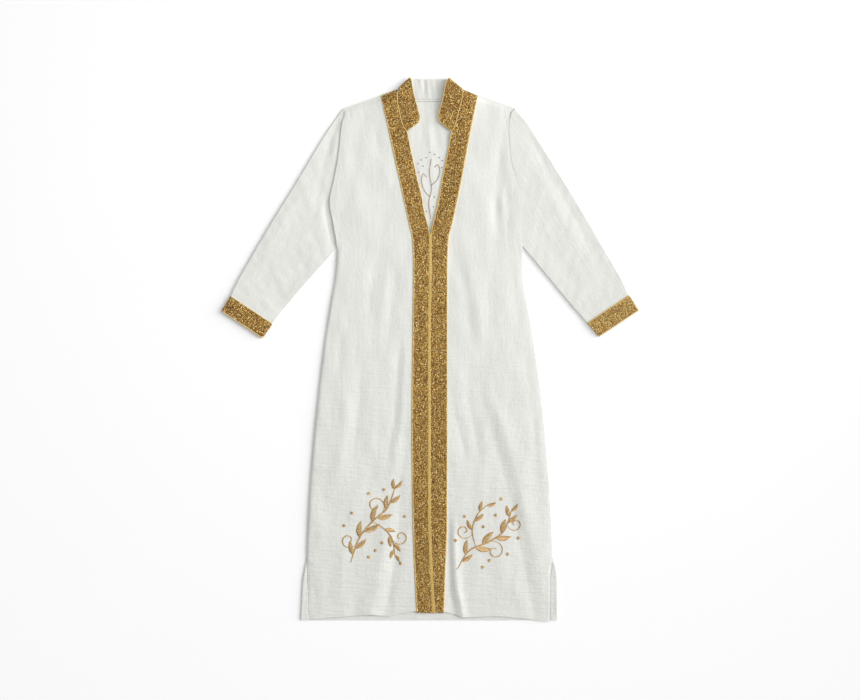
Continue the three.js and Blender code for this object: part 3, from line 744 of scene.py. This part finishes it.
# ---- Collar ----
def collar_stations(name, front_rows=26, turn_rows=14, columns=15):
    """Middle surface of a collar front and its turn, station by station, with the way that it faces."""
    rows = COLLAR[name]
    at = mix(rows["seam"][0], rows["seam"][-1], np.linspace(0, 1, front_rows) ** 1.5)
    seam_x = front_edge(name, at) - SIGN[name] * (GAP + 0.2)
    seam_z = front_top(name, front_edge(name, at), at) - SHELL / 2
    seam = np.column_stack([seam_x, at, seam_z])
    free_z = FRONT_LEVEL + PUFF + read(rows, "seam", "rise", at) + SHELL / 2
    free = np.column_stack([read(rows, "seam", "free_x", at), read(rows, "seam", "free_y", at), free_z])
    share = np.linspace(0, 1, columns)[None, :, None]
    front = mix(seam[:, None], free[:, None], share)
    front_up = np.zeros_like(front) + [0, 0, 1]
    start, end = (np.array([*p, COLLAR_HEIGHT / 2]) for p in COLLAR_TURN[name])
    run = unit(end - start)
    outward = np.array([SIGN[name] * run[1], -SIGN[name] * run[0], 0])
    radius = (COLLAR_HEIGHT - SHELL) / 2
    angle = np.linspace(0, math.pi, turn_rows)[:, None, None]
    way = np.array([0, 0, 1]) * np.cos(angle) + outward * np.sin(angle)
    line = mix(start, end, share[0])[None] - outward * (radius + SHELL / 2)
    turn = line + way * radius
    way = np.broadcast_to(way, turn.shape)
    return np.concatenate([front, turn]), np.concatenate([front_up, way])


def collar_back(rows=44, columns=15):
    """Middle surface of the collar behind the neck, folded flat, with the way that it faces."""
    x = np.linspace(-COLLAR_BACK_HALF, COLLAR_BACK_HALF, rows)
    share = (x - NECK_ENDS[0]) / (NECK_ENDS[1] - NECK_ENDS[0])
    inset = COLLAR_HEIGHT / 2
    level = np.full(rows, SHELL / 2 + COLLAR_FLOOR)
    free_x = mix(COLLAR_TURN["left"][1][0] + inset, COLLAR_TURN["right"][1][0] - inset, share)
    free_y = mix(*COLLAR_TOP, (2 * share - 1) ** 2)
    seam = np.column_stack([x, read(BACK_NECK, "x", "y", x) + GAP, level])
    free = np.column_stack([free_x, free_y, level])
    grid = mix(seam[:, None], free[:, None], np.linspace(0, 1, columns)[None, :, None])
    x, y = grid[..., 0], grid[..., 1]
    lift = COLLAR_LIFT + (fold_lift(COLLAR_FOLDS, x, y) + 0.3 * waves(x, y, 6, (14, 30), 5, 12))
    grid[..., 2] += np.maximum(0, lift) * ease((COLLAR_CREASED - np.abs(x)) / COLLAR_FADE)
    return grid, np.zeros_like(grid) - [0, 0, 1]


# ---- Shader maths ----
class Shade:
    """A number that changes over a surface. Arithmetic on it adds Math nodes."""

    def __init__(self, look, socket):
        self.look, self.socket = look, socket

    def maths(self, operation, *values):
        return self.look.node("ShaderNodeMath", {"operation": operation}, dict(enumerate(values)))[0]

    def __add__(self, other):
        return self.maths("ADD", self, other)

    def __sub__(self, other):
        return self.maths("SUBTRACT", self, other)

    def __rsub__(self, other):
        return self.maths("SUBTRACT", other, self)

    def __mul__(self, other):
        return self.maths("MULTIPLY", self, other)

    __radd__ = __add__
    __rmul__ = __mul__


class Look:
    """A material and the nodes that it is made of."""

    def __init__(self, name, **values):
        self.material = bpy.data.materials.new(name)
        self.material.use_nodes = True
        self.tree = self.material.node_tree
        self.shader = self.tree.nodes["Principled BSDF"]
        for socket, value in values.items():
            self.set(socket.replace("_", " "), value)

    def set(self, socket, value):
        target = self.shader.inputs[socket]
        if isinstance(value, Shade):
            self.tree.links.new(value.socket, target)
        else:
            target.default_value = value

    def node(self, kind, settings=None, inputs=None):
        node = self.tree.nodes.new(kind)
        for setting, value in (settings or {}).items():
            if setting == "stops":
                self.stops(node.color_ramp, value)
            else:
                setattr(node, setting, value)
        for socket, value in (inputs or {}).items():
            if isinstance(value, Shade):
                self.tree.links.new(value.socket, node.inputs[socket])
            else:
                node.inputs[socket].default_value = value
        return [Shade(self, out) for out in node.outputs]

    @staticmethod
    def stops(ramp, stops):
        for element, (place, colour) in zip(ramp.elements, (stops[0], stops[-1])):
            element.position, element.color = place, colour
        for place, colour in stops[1:-1]:
            ramp.elements.new(place).color = colour

    def noise(self, size, turn=0.0, detail=2.0, distortion=0.0):
        """Noise with marks of one size, in millimetres along and across, turned about Z."""
        at = self.node("ShaderNodeTexCoord")[3]
        scale = tuple(MM * length for length in size)
        at = self.node("ShaderNodeMapping", {"vector_type": "TEXTURE"},
                       {"Vector": at, "Rotation": (0, 0, turn), "Scale": scale})[0]
        inputs = {"Vector": at, "Scale": 1.0, "Detail": detail, "Distortion": distortion}
        return self.node("ShaderNodeTexNoise", {}, inputs)[0]

    def ramp(self, factor, stops):
        return self.node("ShaderNodeValToRGB", {"stops": stops}, {0: factor})[0]

    def bump(self, height, distance):
        inputs = {"Height": height, "Distance": distance}
        self.set("Normal", self.node("ShaderNodeBump", {}, inputs)[0])


def grey(level):
    return (level, level, level, 1)


# The crepe's colour runs from painted shade, in the low parts of its creases, to painted light on their
# ridges.
CREPE_CREASE_SHADE, CREPE_RIDGE_LIGHT = (0.775, 0.775, 0.728, 1), (0.825, 0.826, 0.786, 1)
CREPE_DEPTH = 0.0012
RIPPLES_GROW = (0.12, -0.35)  # in metres: the ripples grow from the first height down to the second
RIBBON_DEEP, RIBBON_PALE = (0.14, 0.065, 0.015, 1), (0.46, 0.26, 0.07, 1)


def crepe_look(name, turn=0.0, ripple=0.0):
    """White crinkled crepe: fine creases along its length, and level ripples below the hip of the fronts. Its
    colour is painted shade in the low parts of the creases, crinkles and crumples, and painted light on their
    ridges.
    """
    look = Look(name, Roughness=0.85, Specular_IOR_Level=0.25)
    ripples = look.noise((46, 6.6, 16), turn, 3.0, 0.4)
    creases = look.noise((9, 42, 16), turn, 3.0, 0.5)
    crinkle = look.noise((5.5, 7.5, 6), turn, 2.0, 0.3)
    crumple = look.noise((34, 60, 50), turn, 2.0, 0.4)
    weave = look.noise((0.8, 0.8, 0.8), 0.0, 0.0)
    height = creases * 0.42 + crinkle * 0.36 + crumple * 0.5 + weave * 0.04
    if ripple:
        at = look.node("ShaderNodeTexCoord")[3]
        up = look.node("ShaderNodeSeparateXYZ", {}, {"Vector": at})[1]
        start, end = RIPPLES_GROW
        low = look.node("ShaderNodeMapRange", {}, {"Value": up, "From Min": start, "From Max": end})[0]
        height = height + ripples * (low * ripple * 1.5 + 0.15)
    look.bump(height, CREPE_DEPTH)
    # Colour from the same noises as the bump: painted shade in the valleys and painted light on the ridges.
    tone = crinkle * 0.3 + creases * 0.3 + crumple * 0.4
    look.set("Base Color", look.ramp(tone, ((0.35, CREPE_CREASE_SHADE), (0.65, CREPE_RIDGE_LIGHT))))
    return look.material


def bead_look(name, stops, roughness=0.34, metallic=0.45):
    """Cut beads, each in a shade of its own from the stops; for the gold beads this is partly painted glint
    and shade.
    """
    look = Look(name, Roughness=roughness, Metallic=metallic)
    shade = look.node("ShaderNodeAttribute", {"attribute_name": "shade"})[2]
    look.set("Base Color", look.ramp(shade, stops))
    return look.material


def ribbon_look(name):
    """The dark gold ground that the beads are sewn to."""
    look = Look(name, Roughness=0.55, Metallic=0.3)
    grain = look.noise((2, 2, 2))
    look.set("Base Color", look.ramp(grain, ((0.35, RIBBON_DEEP), (0.65, RIBBON_PALE))))
    look.bump(grain, 0.0006)
    return look.material


def satin_look(name, dark, light):
    """Satin or thread with a fine grain from dark to light."""
    look = Look(name, Roughness=0.4, Specular_IOR_Level=0.4)
    grain = look.noise((1.6, 1.6, 1.6), 0.7, 1.0)
    look.set("Base Color", look.ramp(grain, ((0.3, dark), (0.7, light))))
    look.bump(grain, 0.0003)
    return look.material


def thread_look(name, dark, light):
    """Satin stitch: threads side by side across each stitched shape, on its own map."""
    look = Look(name, Roughness=0.36, Metallic=0.25)
    at = look.node("ShaderNodeUVMap", {"uv_map": "stitch"})[0]
    lines = look.node("ShaderNodeTexWave", {"wave_type": "BANDS", "bands_direction": "X"},
                      {"Vector": at, "Scale": 0.35, "Distortion": 0.6, "Detail": 1.0})[1]
    tone = look.noise((5, 5, 5))
    look.set("Base Color", look.ramp(lines * 0.45 + tone * 0.55, ((0.25, dark), (0.75, light))))
    look.bump(lines, 0.0004)
    return look.material


FLOOR_GLOW = 0.1


def floor_look():
    """A pale floor that glows a little, so that it stays white beside the cloth."""
    look = Look("white_floor", Roughness=0.9, Specular_IOR_Level=0.1)
    grain = look.noise((300, 300, 300))
    look.set("Base Color", look.ramp(grain, ((0.0, grey(0.955)), (1.0, grey(0.965)))))
    look.set("Emission Color", grey(1))
    look.set("Emission Strength", FLOOR_GLOW)
    return look.material


SLEEVE_TURN = 0.59  # of the weave, in radians
CREPE = crepe_look("crinkled_crepe", ripple=1.0)
SLEEVE_CREPE = {name: crepe_look(f"crinkled_crepe_{name}_sleeve", SIGN[name] * SLEEVE_TURN) for name in SIGN}
# The gold beads run from dark bronze to pale gold: partly their own colours, partly painted glints and shade
# that stand in for the sparkle of cut beads.
GOLD_STOPS = ((0.0, (0.10, 0.038, 0.004, 1)), (0.25, (0.29, 0.135, 0.017, 1)), (0.5, (0.58, 0.34, 0.062, 1)),
              (0.75, (0.90, 0.61, 0.16, 1)), (1.0, (1.0, 0.88, 0.42, 1)))
BROWN_STOPS = ((0.0, (0.16, 0.07, 0.02, 1)), (1.0, (0.50, 0.27, 0.10, 1)))
GOLD_BEADS = bead_look("gold_beads", GOLD_STOPS)
BROWN_BEADS = bead_look("bronze_beads", BROWN_STOPS, 0.45, 0.15)
RIBBON_GROUND = ribbon_look("gold_ribbon")
# Grey cords at the back of the neck: painted shade of the seam's grooves.
SEAM_SHADE_CORD = satin_look("painted_seam_shade", (0.30, 0.29, 0.26, 1), (0.40, 0.39, 0.36, 1))
PIPING_SATIN = satin_look("pale_gold_satin", (0.56, 0.37, 0.12, 1), (0.84, 0.64, 0.31, 1))
CENTRE_CORD = satin_look("gold_cord", (0.58, 0.37, 0.08, 1), (0.92, 0.68, 0.24, 1))
GOLD_THREAD = thread_look("gold_thread", (0.40, 0.21, 0.06, 1), (0.80, 0.56, 0.27, 1))
WHITE_THREAD = satin_look("white_thread", (0.70, 0.69, 0.66, 1), (0.80, 0.79, 0.77, 1))


# ---- Embroidery ----
LEAF_ANGLE = 42
TENDRIL_WIDTH, BUD_SIZE = 3.4, 9
THREAD_LIFT, THREAD_SINK = 0.12, 0.15  # how far a stroke's edge stands out of the cloth, and reaches into it
THREAD_DOME = 0.38  # a stroke's height as a share of its half width
THREAD_SLANT = 0.35


def curve(points, count):
    return along_path(points, np.linspace(0, 1, count))


def curl(root, centre, turns, count=32):
    """A tendril that leaves a stem and winds in to its centre."""
    share = np.linspace(0, 1, count)
    away = np.array(root) - centre
    angle = math.atan2(away[1], away[0]) + share * turns * 2 * math.pi
    radius = np.hypot(*away) * (1 - 0.82 * share**0.8)
    return np.column_stack([centre[0] + radius * np.cos(angle), centre[1] + radius * np.sin(angle)])


def leaf(root, angle, length, width, bend, count=15):
    """A leaf's middle line and half widths. It grows at an angle, in degrees, and bends to one side."""
    share = np.linspace(0, 1, count)
    way = math.radians(angle) + math.radians(bend) * share
    step = length / (count - 1)
    line = np.array(root) + np.cumsum(np.column_stack([np.cos(way), np.sin(way)]) * step, axis=0)
    half = width / 2 * np.sin(math.pi * np.clip(share, 0.02, 0.985) ** 0.8) ** 0.8
    return line, half


def stroke(line, width):
    """A stem that thins toward both ends."""
    share = np.linspace(0, 1, len(line))
    return line, width / 2 * (0.25 + 0.75 * np.sin(math.pi * np.clip(share, 0.02, 0.98)) ** 0.5)


def sprig(stem, leaves, width):
    """A stem with leaves: each is a share along the stem, a side, a length, a width and a bend."""
    line = curve(stem, 60)
    parts = [stroke(line, width)]
    for share, side_of, length, wide, bend in leaves:
        k = int(share * 58)
        angle = math.degrees(math.atan2(*(line[k + 1] - line[k])[::-1])) + side_of * LEAF_ANGLE
        parts.append(leaf(line[k], angle, length, wide, -side_of * bend))
    return parts


def stitched(name, parts, height, material):
    """Satin stitch: domed strokes lying on the cloth, with a map in millimetres along and across each."""
    points, faces, stitch = [], [], []
    across = np.linspace(-1, 1, 7)
    for line, half in parts:
        ahead = unit(np.gradient(line, axis=0))
        out = np.column_stack([-ahead[:, 1], ahead[:, 0]])
        plan = line[:, None] + out[:, None] * (across[None, :, None] * half[:, None, None])
        ground = height(plan[..., 0], plan[..., 1])
        dome = np.sqrt(np.clip(1 - across**2, 0, 1))[None] * np.clip(half, 0.3, 3)[:, None] * THREAD_DOME
        top = np.dstack([plan, ground + THREAD_LIFT + dome])
        corners, quads = closed(top, np.dstack([plan, ground - THREAD_SINK]))
        faces.append(quads + sum(len(p) for p in points))
        points.append(corners)
        v = across[None] * half[:, None]
        u = run_along(line)[:, None] + THREAD_SLANT * v
        stitch.append(np.tile(np.dstack([u, v]).reshape(-1, 2), (2, 1)))
    piece = make(name, np.vstack(points), np.vstack(faces), material)
    corners = np.empty(len(piece.data.loops), int)
    piece.data.loops.foreach_get("vertex_index", corners)
    stitch_map = piece.data.uv_layers.new(name="stitch")
    stitch_map.data.foreach_set("uv", np.vstack(stitch)[corners].ravel())
    return piece


def dots(places, size):
    """Round buds: each is a place and the way that its stitches run, in degrees."""
    return [leaf((x - size / 2, y), turn, size, size, 0, 7) for x, y, turn in places]


# Each branch is the width and the points of its stem, and then its leaves.
SPRAYS = {
    "left": (
        (5, ((-206, -552), (-186, -494), (-150, -446), (-112, -412), (-88, -352)), (
            (0.10, 1, 36, 12, 30), (0.16, -1, 38, 13, 26), (0.30, 1, 42, 14.5, 34), (0.38, -1, 44, 14.5, 30),
            (0.52, 1, 42, 14, 30), (0.60, -1, 40, 13.5, 34), (0.74, 1, 36, 12.5, 28), (0.82, -1, 33, 12, 24),
            (0.97, 1, 29, 10.5, 40), (0.985, -1, 27, 10, 40))),
        (4, ((-150, -446), (-122, -462), (-98, -492), (-90, -538)), (
            (0.34, 1, 28, 10.5, 26), (0.50, -1, 30, 11, 26), (0.72, 1, 27, 10.5, 26), (0.86, -1, 25, 10, 26),
            (0.98, 1, 22, 9, 42))),
    ),
    "right": (
        (5, ((70, -570), (104, -520), (150, -500), (192, -470), (214, -412)), (
            (0.12, -1, 33, 12, 30), (0.20, 1, 38, 13, 26), (0.36, -1, 42, 14.5, 32), (0.44, 1, 43, 14.5, 28),
            (0.62, -1, 39, 13.5, 30), (0.70, 1, 38, 13, 30), (0.86, -1, 32, 12, 26), (0.93, 1, 30, 11, 26),
            (0.985, -1, 25, 10, 44))),
        (4, ((118, -510), (110, -470), (122, -430), (152, -400)), (
            (0.36, 1, 29, 10.5, 26), (0.55, -1, 30, 11, 26), (0.78, 1, 27, 10.5, 26),
            (0.97, -1, 25, 10, 40))),
    ),
}
# Each tendril is where it leaves its stem, its centre and its turns. A bud is its place and the way it lies.
CURLS = {
    "left": (((-190, -503), (-212, -494), -1.2), ((-128, -428), (-142, -404), 1.25),
             ((-99, -490), (-76, -486), 1.2)),
    "right": (((150, -500), (168, -522), -1.25), ((110, -478), (88, -470), -1.2),
              ((201, -455), (222, -452), 1.15)),
}
BUDS = {
    "left": ((-160, -540, 20), (-140, -526, 60), (-218, -462, 100), (-120, -366, 30), (-122, -506, 70),
             (-66, -436, 40), (-196, -428, 120), (-72, -560, 90), (-160, -374, 10)),
    "right": ((136, -566, 20), (156, -552, 60), (72, -500, 100), (170, -432, 30), (232, -494, 70),
              (90, -436, 40), (146, -464, 120), (206, -536, 90), (184, -388, 10)),
}
BEAD_SPRAY = (
    ((2, 342), (-3, 380), (4, 420), (-1, 462), (3, 496)),
    ((0, 398), (-14, 414), (-22, 440), (-17, 458), (-9, 450)),
    ((3, 428), (17, 440), (26, 464), (20, 482), (12, 474)),
)
BEAD_DOTS = ((-30, 484), (-23, 494), (-18, 478), (24, 500), (32, 492), (-10, 500), (12, 508), (-9, 360),
             (9, 372), (12, 398), (-30, 462), (31, 474), (0, 514))
SPRIG_PITCH = 2.7
SPRIG_LIFT = 0.5
SPRIG_BEAD, DOT_BEAD = (1.45, 1.15, 1.0), (1.9, 1.9, 1.3)


def embroidery(name):
    """A flowing spray of leaves, tendrils and buds in gold satin stitch."""
    parts = []
    for width, stem, leaves in SPRAYS[name]:
        parts += sprig(stem, leaves, width)
    parts += [stroke(curl(*each), TENDRIL_WIDTH) for each in CURLS[name]]
    parts += dots(BUDS[name], BUD_SIZE)
    return stitched(f"gold_spray_{name}", parts, lambda x, y: front_top(name, x, y), GOLD_THREAD)


def bead_sprig(rng):
    """Small bronze beads sewn along a sprig inside the neck opening."""
    places, ways = [], []
    for stem in BEAD_SPRAY:
        fine = curve(stem, 200)
        run = run_along(fine)
        at = np.interp(np.arange(1, run[-1], SPRIG_PITCH), run, np.arange(200))
        line = np.column_stack([np.interp(at, np.arange(200), fine[:, k]) for k in (0, 1)])
        places.append(line)
        ways.append(unit(np.gradient(line, axis=0)))
    places.append(np.array(BEAD_DOTS, float))
    ways.append(np.tile([1.0, 0.0], (len(BEAD_DOTS), 1)))
    plan, way = np.vstack(places), np.vstack(ways)
    centres = np.column_stack([plan, BACK_TOP + back_lift(plan[:, 0], plan[:, 1]) + SPRIG_LIFT])
    along = np.column_stack([way, np.zeros(len(way))])
    up = np.tile([0.0, 0.0, 1.0], (len(way), 1))
    sizes = np.tile(SPRIG_BEAD, (len(way), 1))
    sizes[-len(BEAD_DOTS):] = DOT_BEAD
    return beads("bead_sprig", centres, along, up, sizes, rng.uniform(0, 1, len(way)), BROWN_BEADS)


def stitches(name, lines):
    """Short white stitches end to end along lines of points."""
    centres, along = [], []
    for line in lines:
        run = run_along(line)
        at = np.arange(2, run[-1] - 1, STITCH_PITCH)
        ways = np.gradient(line, axis=0)
        centres.append(np.column_stack([np.interp(at, run, line[:, k]) for k in range(3)]))
        along.append(np.column_stack([np.interp(at, run, ways[:, k]) for k in range(3)]))
    centres, along = np.vstack(centres) + (0, 0, STITCH_LIFT), unit(np.vstack(along))
    up = unit(np.tile([0.0, 0.0, 1.0], (len(along), 1)) - along * along[:, 2:])
    sizes = np.tile(STITCH_SIZE, (len(along), 1))
    return beads(name, centres, along, up, sizes, np.full(len(along), 0.5), WHITE_THREAD)


def neck_seam_shade():
    """Grey cords along the seam under the collar at the back of the neck and along the row of stitching below
    it: painted shade, for the dark lines of their grooves.
    """
    x = np.linspace(-NECK_SEAM_HALF, NECK_SEAM_HALF, 60)
    lines = []
    for drop in NECK_SEAM_DROPS:
        y = read(BACK_NECK, "x", "y", x) - drop
        lines.append(np.column_stack([x, y, BACK_TOP + back_lift(x, y)]))
    return cord("neck_seam_shade", lines, NECK_SEAM, SEAM_SHADE_CORD)


def front_hem_lines(name):
    """A front's hem stitching, from the band to the side and up the slit."""
    up = np.linspace(HEM_IN + STITCH_IN, SLIT_TOP + 4, 60)
    width = np.abs(side(name, outer_height(up)) - front_edge(name, up))
    by_slit = 1 - STITCH_IN / width
    across = np.linspace(0.14, by_slit[0], 90)
    return [front_surface(name, np.full(90, up[0]), across), front_surface(name, up, by_slit)]


def back_hem_lines():
    """The back's hem stitching, which shows between and beside the fronts."""
    return [back_surface(np.full(160, HEM_IN + BACK_STITCH_IN), np.linspace(0.015, 0.985, 160))]


# ---- Building ----
def finish_piece(piece, nodes=()):
    """Say which body a piece rides and which nodes it stands for."""
    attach(piece, "root")
    if nodes:
        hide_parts(*nodes)
    return piece


def band_grid(name, rows=280, columns=11):
    """Where a front's band lies, from its front edge outwards."""
    inner = np.linspace(HEM_IN, SHOULDER_IN, rows)[:, None]
    share = np.linspace(0, 1, columns)[None, :]
    at_band = mix(inner, outer_height(inner), BAND_SHARE)
    x = mix(front_edge(name, inner), read(FRONT_EDGES, "y", f"{name}_band", at_band), share)
    y = mix(inner, mix(at_band, inner, ease(1 - (inner - HEM_IN) / BAND_LEVELS_OUT)), share)
    z = front_top(name, x, y) + BAND_LIFT
    return np.dstack([x, y, z])


def ribbon(name, base, normal, wrap=False):
    """A band's ground: a ribbon that is a little fuller along its middle."""
    across = np.linspace(-1, 1, base.shape[1])[None, :, None]
    top = base + normal * RIBBON * (0.6 + 0.4 * np.sqrt(np.clip(1 - across**2, 0, 1)))
    return wall(name, top, base, RIBBON_GROUND, wrap), top


def front_band(name, rng):
    """A front's gold band, the piping along its outer edge and the finer cords along its front edge."""
    base = band_grid(name)
    normal = facing(base, outward=-SIGN[name])
    ground, top = ribbon(f"front_band_ground_{name}", base, normal)
    cover = bead_cover(f"front_band_beads_{name}", top, normal, rng, GOLD_BEADS)
    inner, outer = base[:, 0].copy(), base[:, -1].copy()
    outer += (-SIGN[name] * PIPING_IN, 0, 0.1)
    meeting = inner[inner[:, 1] < FOOT_OF_V - MEETING_STOP]
    meeting = meeting + (-SIGN[name] * GAP / 2, 0, RIBBON + MEETING_LIFT)
    inner[:, 0] += SIGN[name] * mix(*EDGING_IN, ease((inner[:, 1] - FOOT_OF_V + 20) / 40))
    inner[:, 2] += RIBBON
    edges = [inner, meeting] if name == "left" else [inner]
    piping = cord(f"front_band_piping_{name}", [outer], PIPING, PIPING_SATIN, PIPING_FLAT)
    edging = cord(f"front_band_edging_{name}", edges, EDGING, CENTRE_CORD)
    return ground, cover, piping, edging


def collar_trim(name, stations, way, rng):
    """The gold facing of a collar front, which goes a little way round the turn."""
    base = stations + way * (SHELL / 2 + BAND_LIFT)
    ground, top = ribbon(f"collar_trim_ground_{name}", base, way)
    cover = bead_cover(f"collar_trim_beads_{name}", top, way, rng, GOLD_BEADS)
    edge = np.concatenate([(base[0] + way[0] * RIBBON)[:-1], base[:, -1] + way[:, -1] * RIBBON])
    piping = cord(f"collar_trim_piping_{name}", [edge], EDGING, PIPING_SATIN)
    return ground, cover, piping


def cuff_band(name, rng):
    """The gold band round a cuff, with piping along both of its edges."""
    outer = cuff_grid(name)
    inner = cuff_grid(name, lift=-RIBBON)
    ground = wall(f"cuff_band_ground_{name}", outer, inner, RIBBON_GROUND, wrap=True)
    normal = facing(outer, wrap=True)
    if normal[len(normal) // 4, :, 2].mean() < 0:
        normal = -normal
    surface, faced = (np.concatenate([grid, grid[:1]]) for grid in (outer, normal))
    cover = bead_cover(f"cuff_band_beads_{name}", surface, faced, rng, GOLD_BEADS, CUFF_PAINTED_LIGHT[name])
    edges = [np.concatenate([outer[:, c], outer[:2, c]]) for c in (0, -1)]
    piping = cord(f"cuff_band_piping_{name}", edges, CUFF_EDGING, PIPING_SATIN)
    return ground, cover, piping


def build_body():
    """The back, the fronts and the sleeves, with their trims, and then the collar on the back."""
    rng = np.random.default_rng(7)
    back = finish_piece(cloth("back_cloth", back_grid(), CREPE), ["back_panel"])
    back_trims = [finish_piece(bead_sprig(rng)), finish_piece(neck_seam_shade()),
                  finish_piece(stitches("back_hem_stitches", back_hem_lines()))]
    for name in SIGN:
        front = cloth(f"front_cloth_{name}", front_grid(name), CREPE)
        finish_piece(front, [f"front_{name}"])
        trims = [*front_band(name, rng), embroidery(name)]
        for trim in trims:
            finish_piece(trim)
        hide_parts(f"front_band_{name}")
        trims.append(finish_piece(stitches(f"front_hem_stitches_{name}", front_hem_lines(name))))
        sleeve = cloth(f"sleeve_cloth_{name}", sleeve_grid(name), SLEEVE_CREPE[name], wrap=True)
        finish_piece(sleeve, [f"sleeve_{name}"])
        cuff = cuff_band(name, rng)
        for trim in cuff:
            finish_piece(trim)
        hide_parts(f"cuff_band_{name}")
    build_collar(rng)


def build_collar(rng):
    """The white collar in one piece, with the gold facings of its two fronts."""
    left, left_way = collar_stations("left")
    right, right_way = collar_stations("right")
    backs, back_way = collar_back()
    middle = np.concatenate([left, backs, right[::-1]])
    way = np.concatenate([left_way, back_way, right_way[::-1]])
    collar = wall("collar_cloth", middle + way * SHELL / 2, middle - way * SHELL / 2, CREPE)
    finish_piece(collar, ["collar"])
    trims = []
    for name, stations, ways in (("left", left, left_way), ("right", right, right_way)):
        pieces = collar_trim(name, stations[:TRIM_STATIONS], ways[:TRIM_STATIONS], rng)
        for trim in pieces:
            finish_piece(trim)
        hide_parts(f"collar_trim_{name}")
        trims += pieces


# ---- Floor, light and camera ----
VIEW_WIDTH = 2.236
LENS, SENSOR = 100.0, 36.0
FLOOR_SIZE, FLOOR_LEVEL = 12, -0.0004
SKY_STRENGTH = 0.43
WINDOW_STRENGTH = 3.667
WINDOW_HEIGHT, WINDOW_TURN, WINDOW_SOFTNESS = 21, 8, 45  # degrees
FILL_POWER, FILL_SIZE, FILL_PLACE, FILL_AIM = 5.0, 1.0, (0.4, 0.8, 1.5), (0, 0.3, 0)


def add_lamp(light, place, way):
    """Hang a lamp at its place, turned so that its light comes from one way."""
    lamp = bpy.data.objects.new(light.name, light)
    lamp.location = place
    lamp.rotation_euler = way.to_track_quat("Z", "Y").to_euler()
    bpy.context.scene.collection.objects.link(lamp)


def stage():
    """A pale floor, soft light from a low window at the right, and the camera above."""
    bpy.ops.mesh.primitive_plane_add(size=FLOOR_SIZE, location=(0, 0, FLOOR_LEVEL))
    floor = bpy.context.object
    floor.name = "floor"
    floor.data.materials.append(floor_look())

    world = bpy.data.worlds.new("soft_white")
    bpy.context.scene.world = world
    world.use_nodes = True
    sky = world.node_tree.nodes["Background"].inputs
    sky["Color"].default_value = grey(1)
    sky["Strength"].default_value = SKY_STRENGTH

    low, turn = math.radians(WINDOW_HEIGHT), math.radians(WINDOW_TURN)
    window_way = Vector((math.cos(low) * math.cos(turn), math.cos(low) * math.sin(turn), math.sin(low)))
    sun = bpy.data.lights.new("window_light", "SUN")
    sun.energy = WINDOW_STRENGTH
    sun.angle = math.radians(WINDOW_SOFTNESS)
    add_lamp(sun, (0, 0, 2), window_way)
    fill = bpy.data.lights.new("collar_end_light", "AREA")
    fill.energy = FILL_POWER
    fill.size = FILL_SIZE
    add_lamp(fill, FILL_PLACE, Vector(FILL_PLACE) - Vector(FILL_AIM))

    camera = bpy.data.cameras.new("camera")
    camera.lens, camera.sensor_width = LENS, SENSOR
    eye = bpy.data.objects.new("camera", camera)
    eye.location = (SHIFT[0] * MM, SHIFT[1] * MM, VIEW_WIDTH * LENS / SENSOR)
    bpy.context.scene.collection.objects.link(eye)
    bpy.context.scene.camera = eye
    bpy.context.scene.view_settings.view_transform = "Standard"


build_body()
stage()
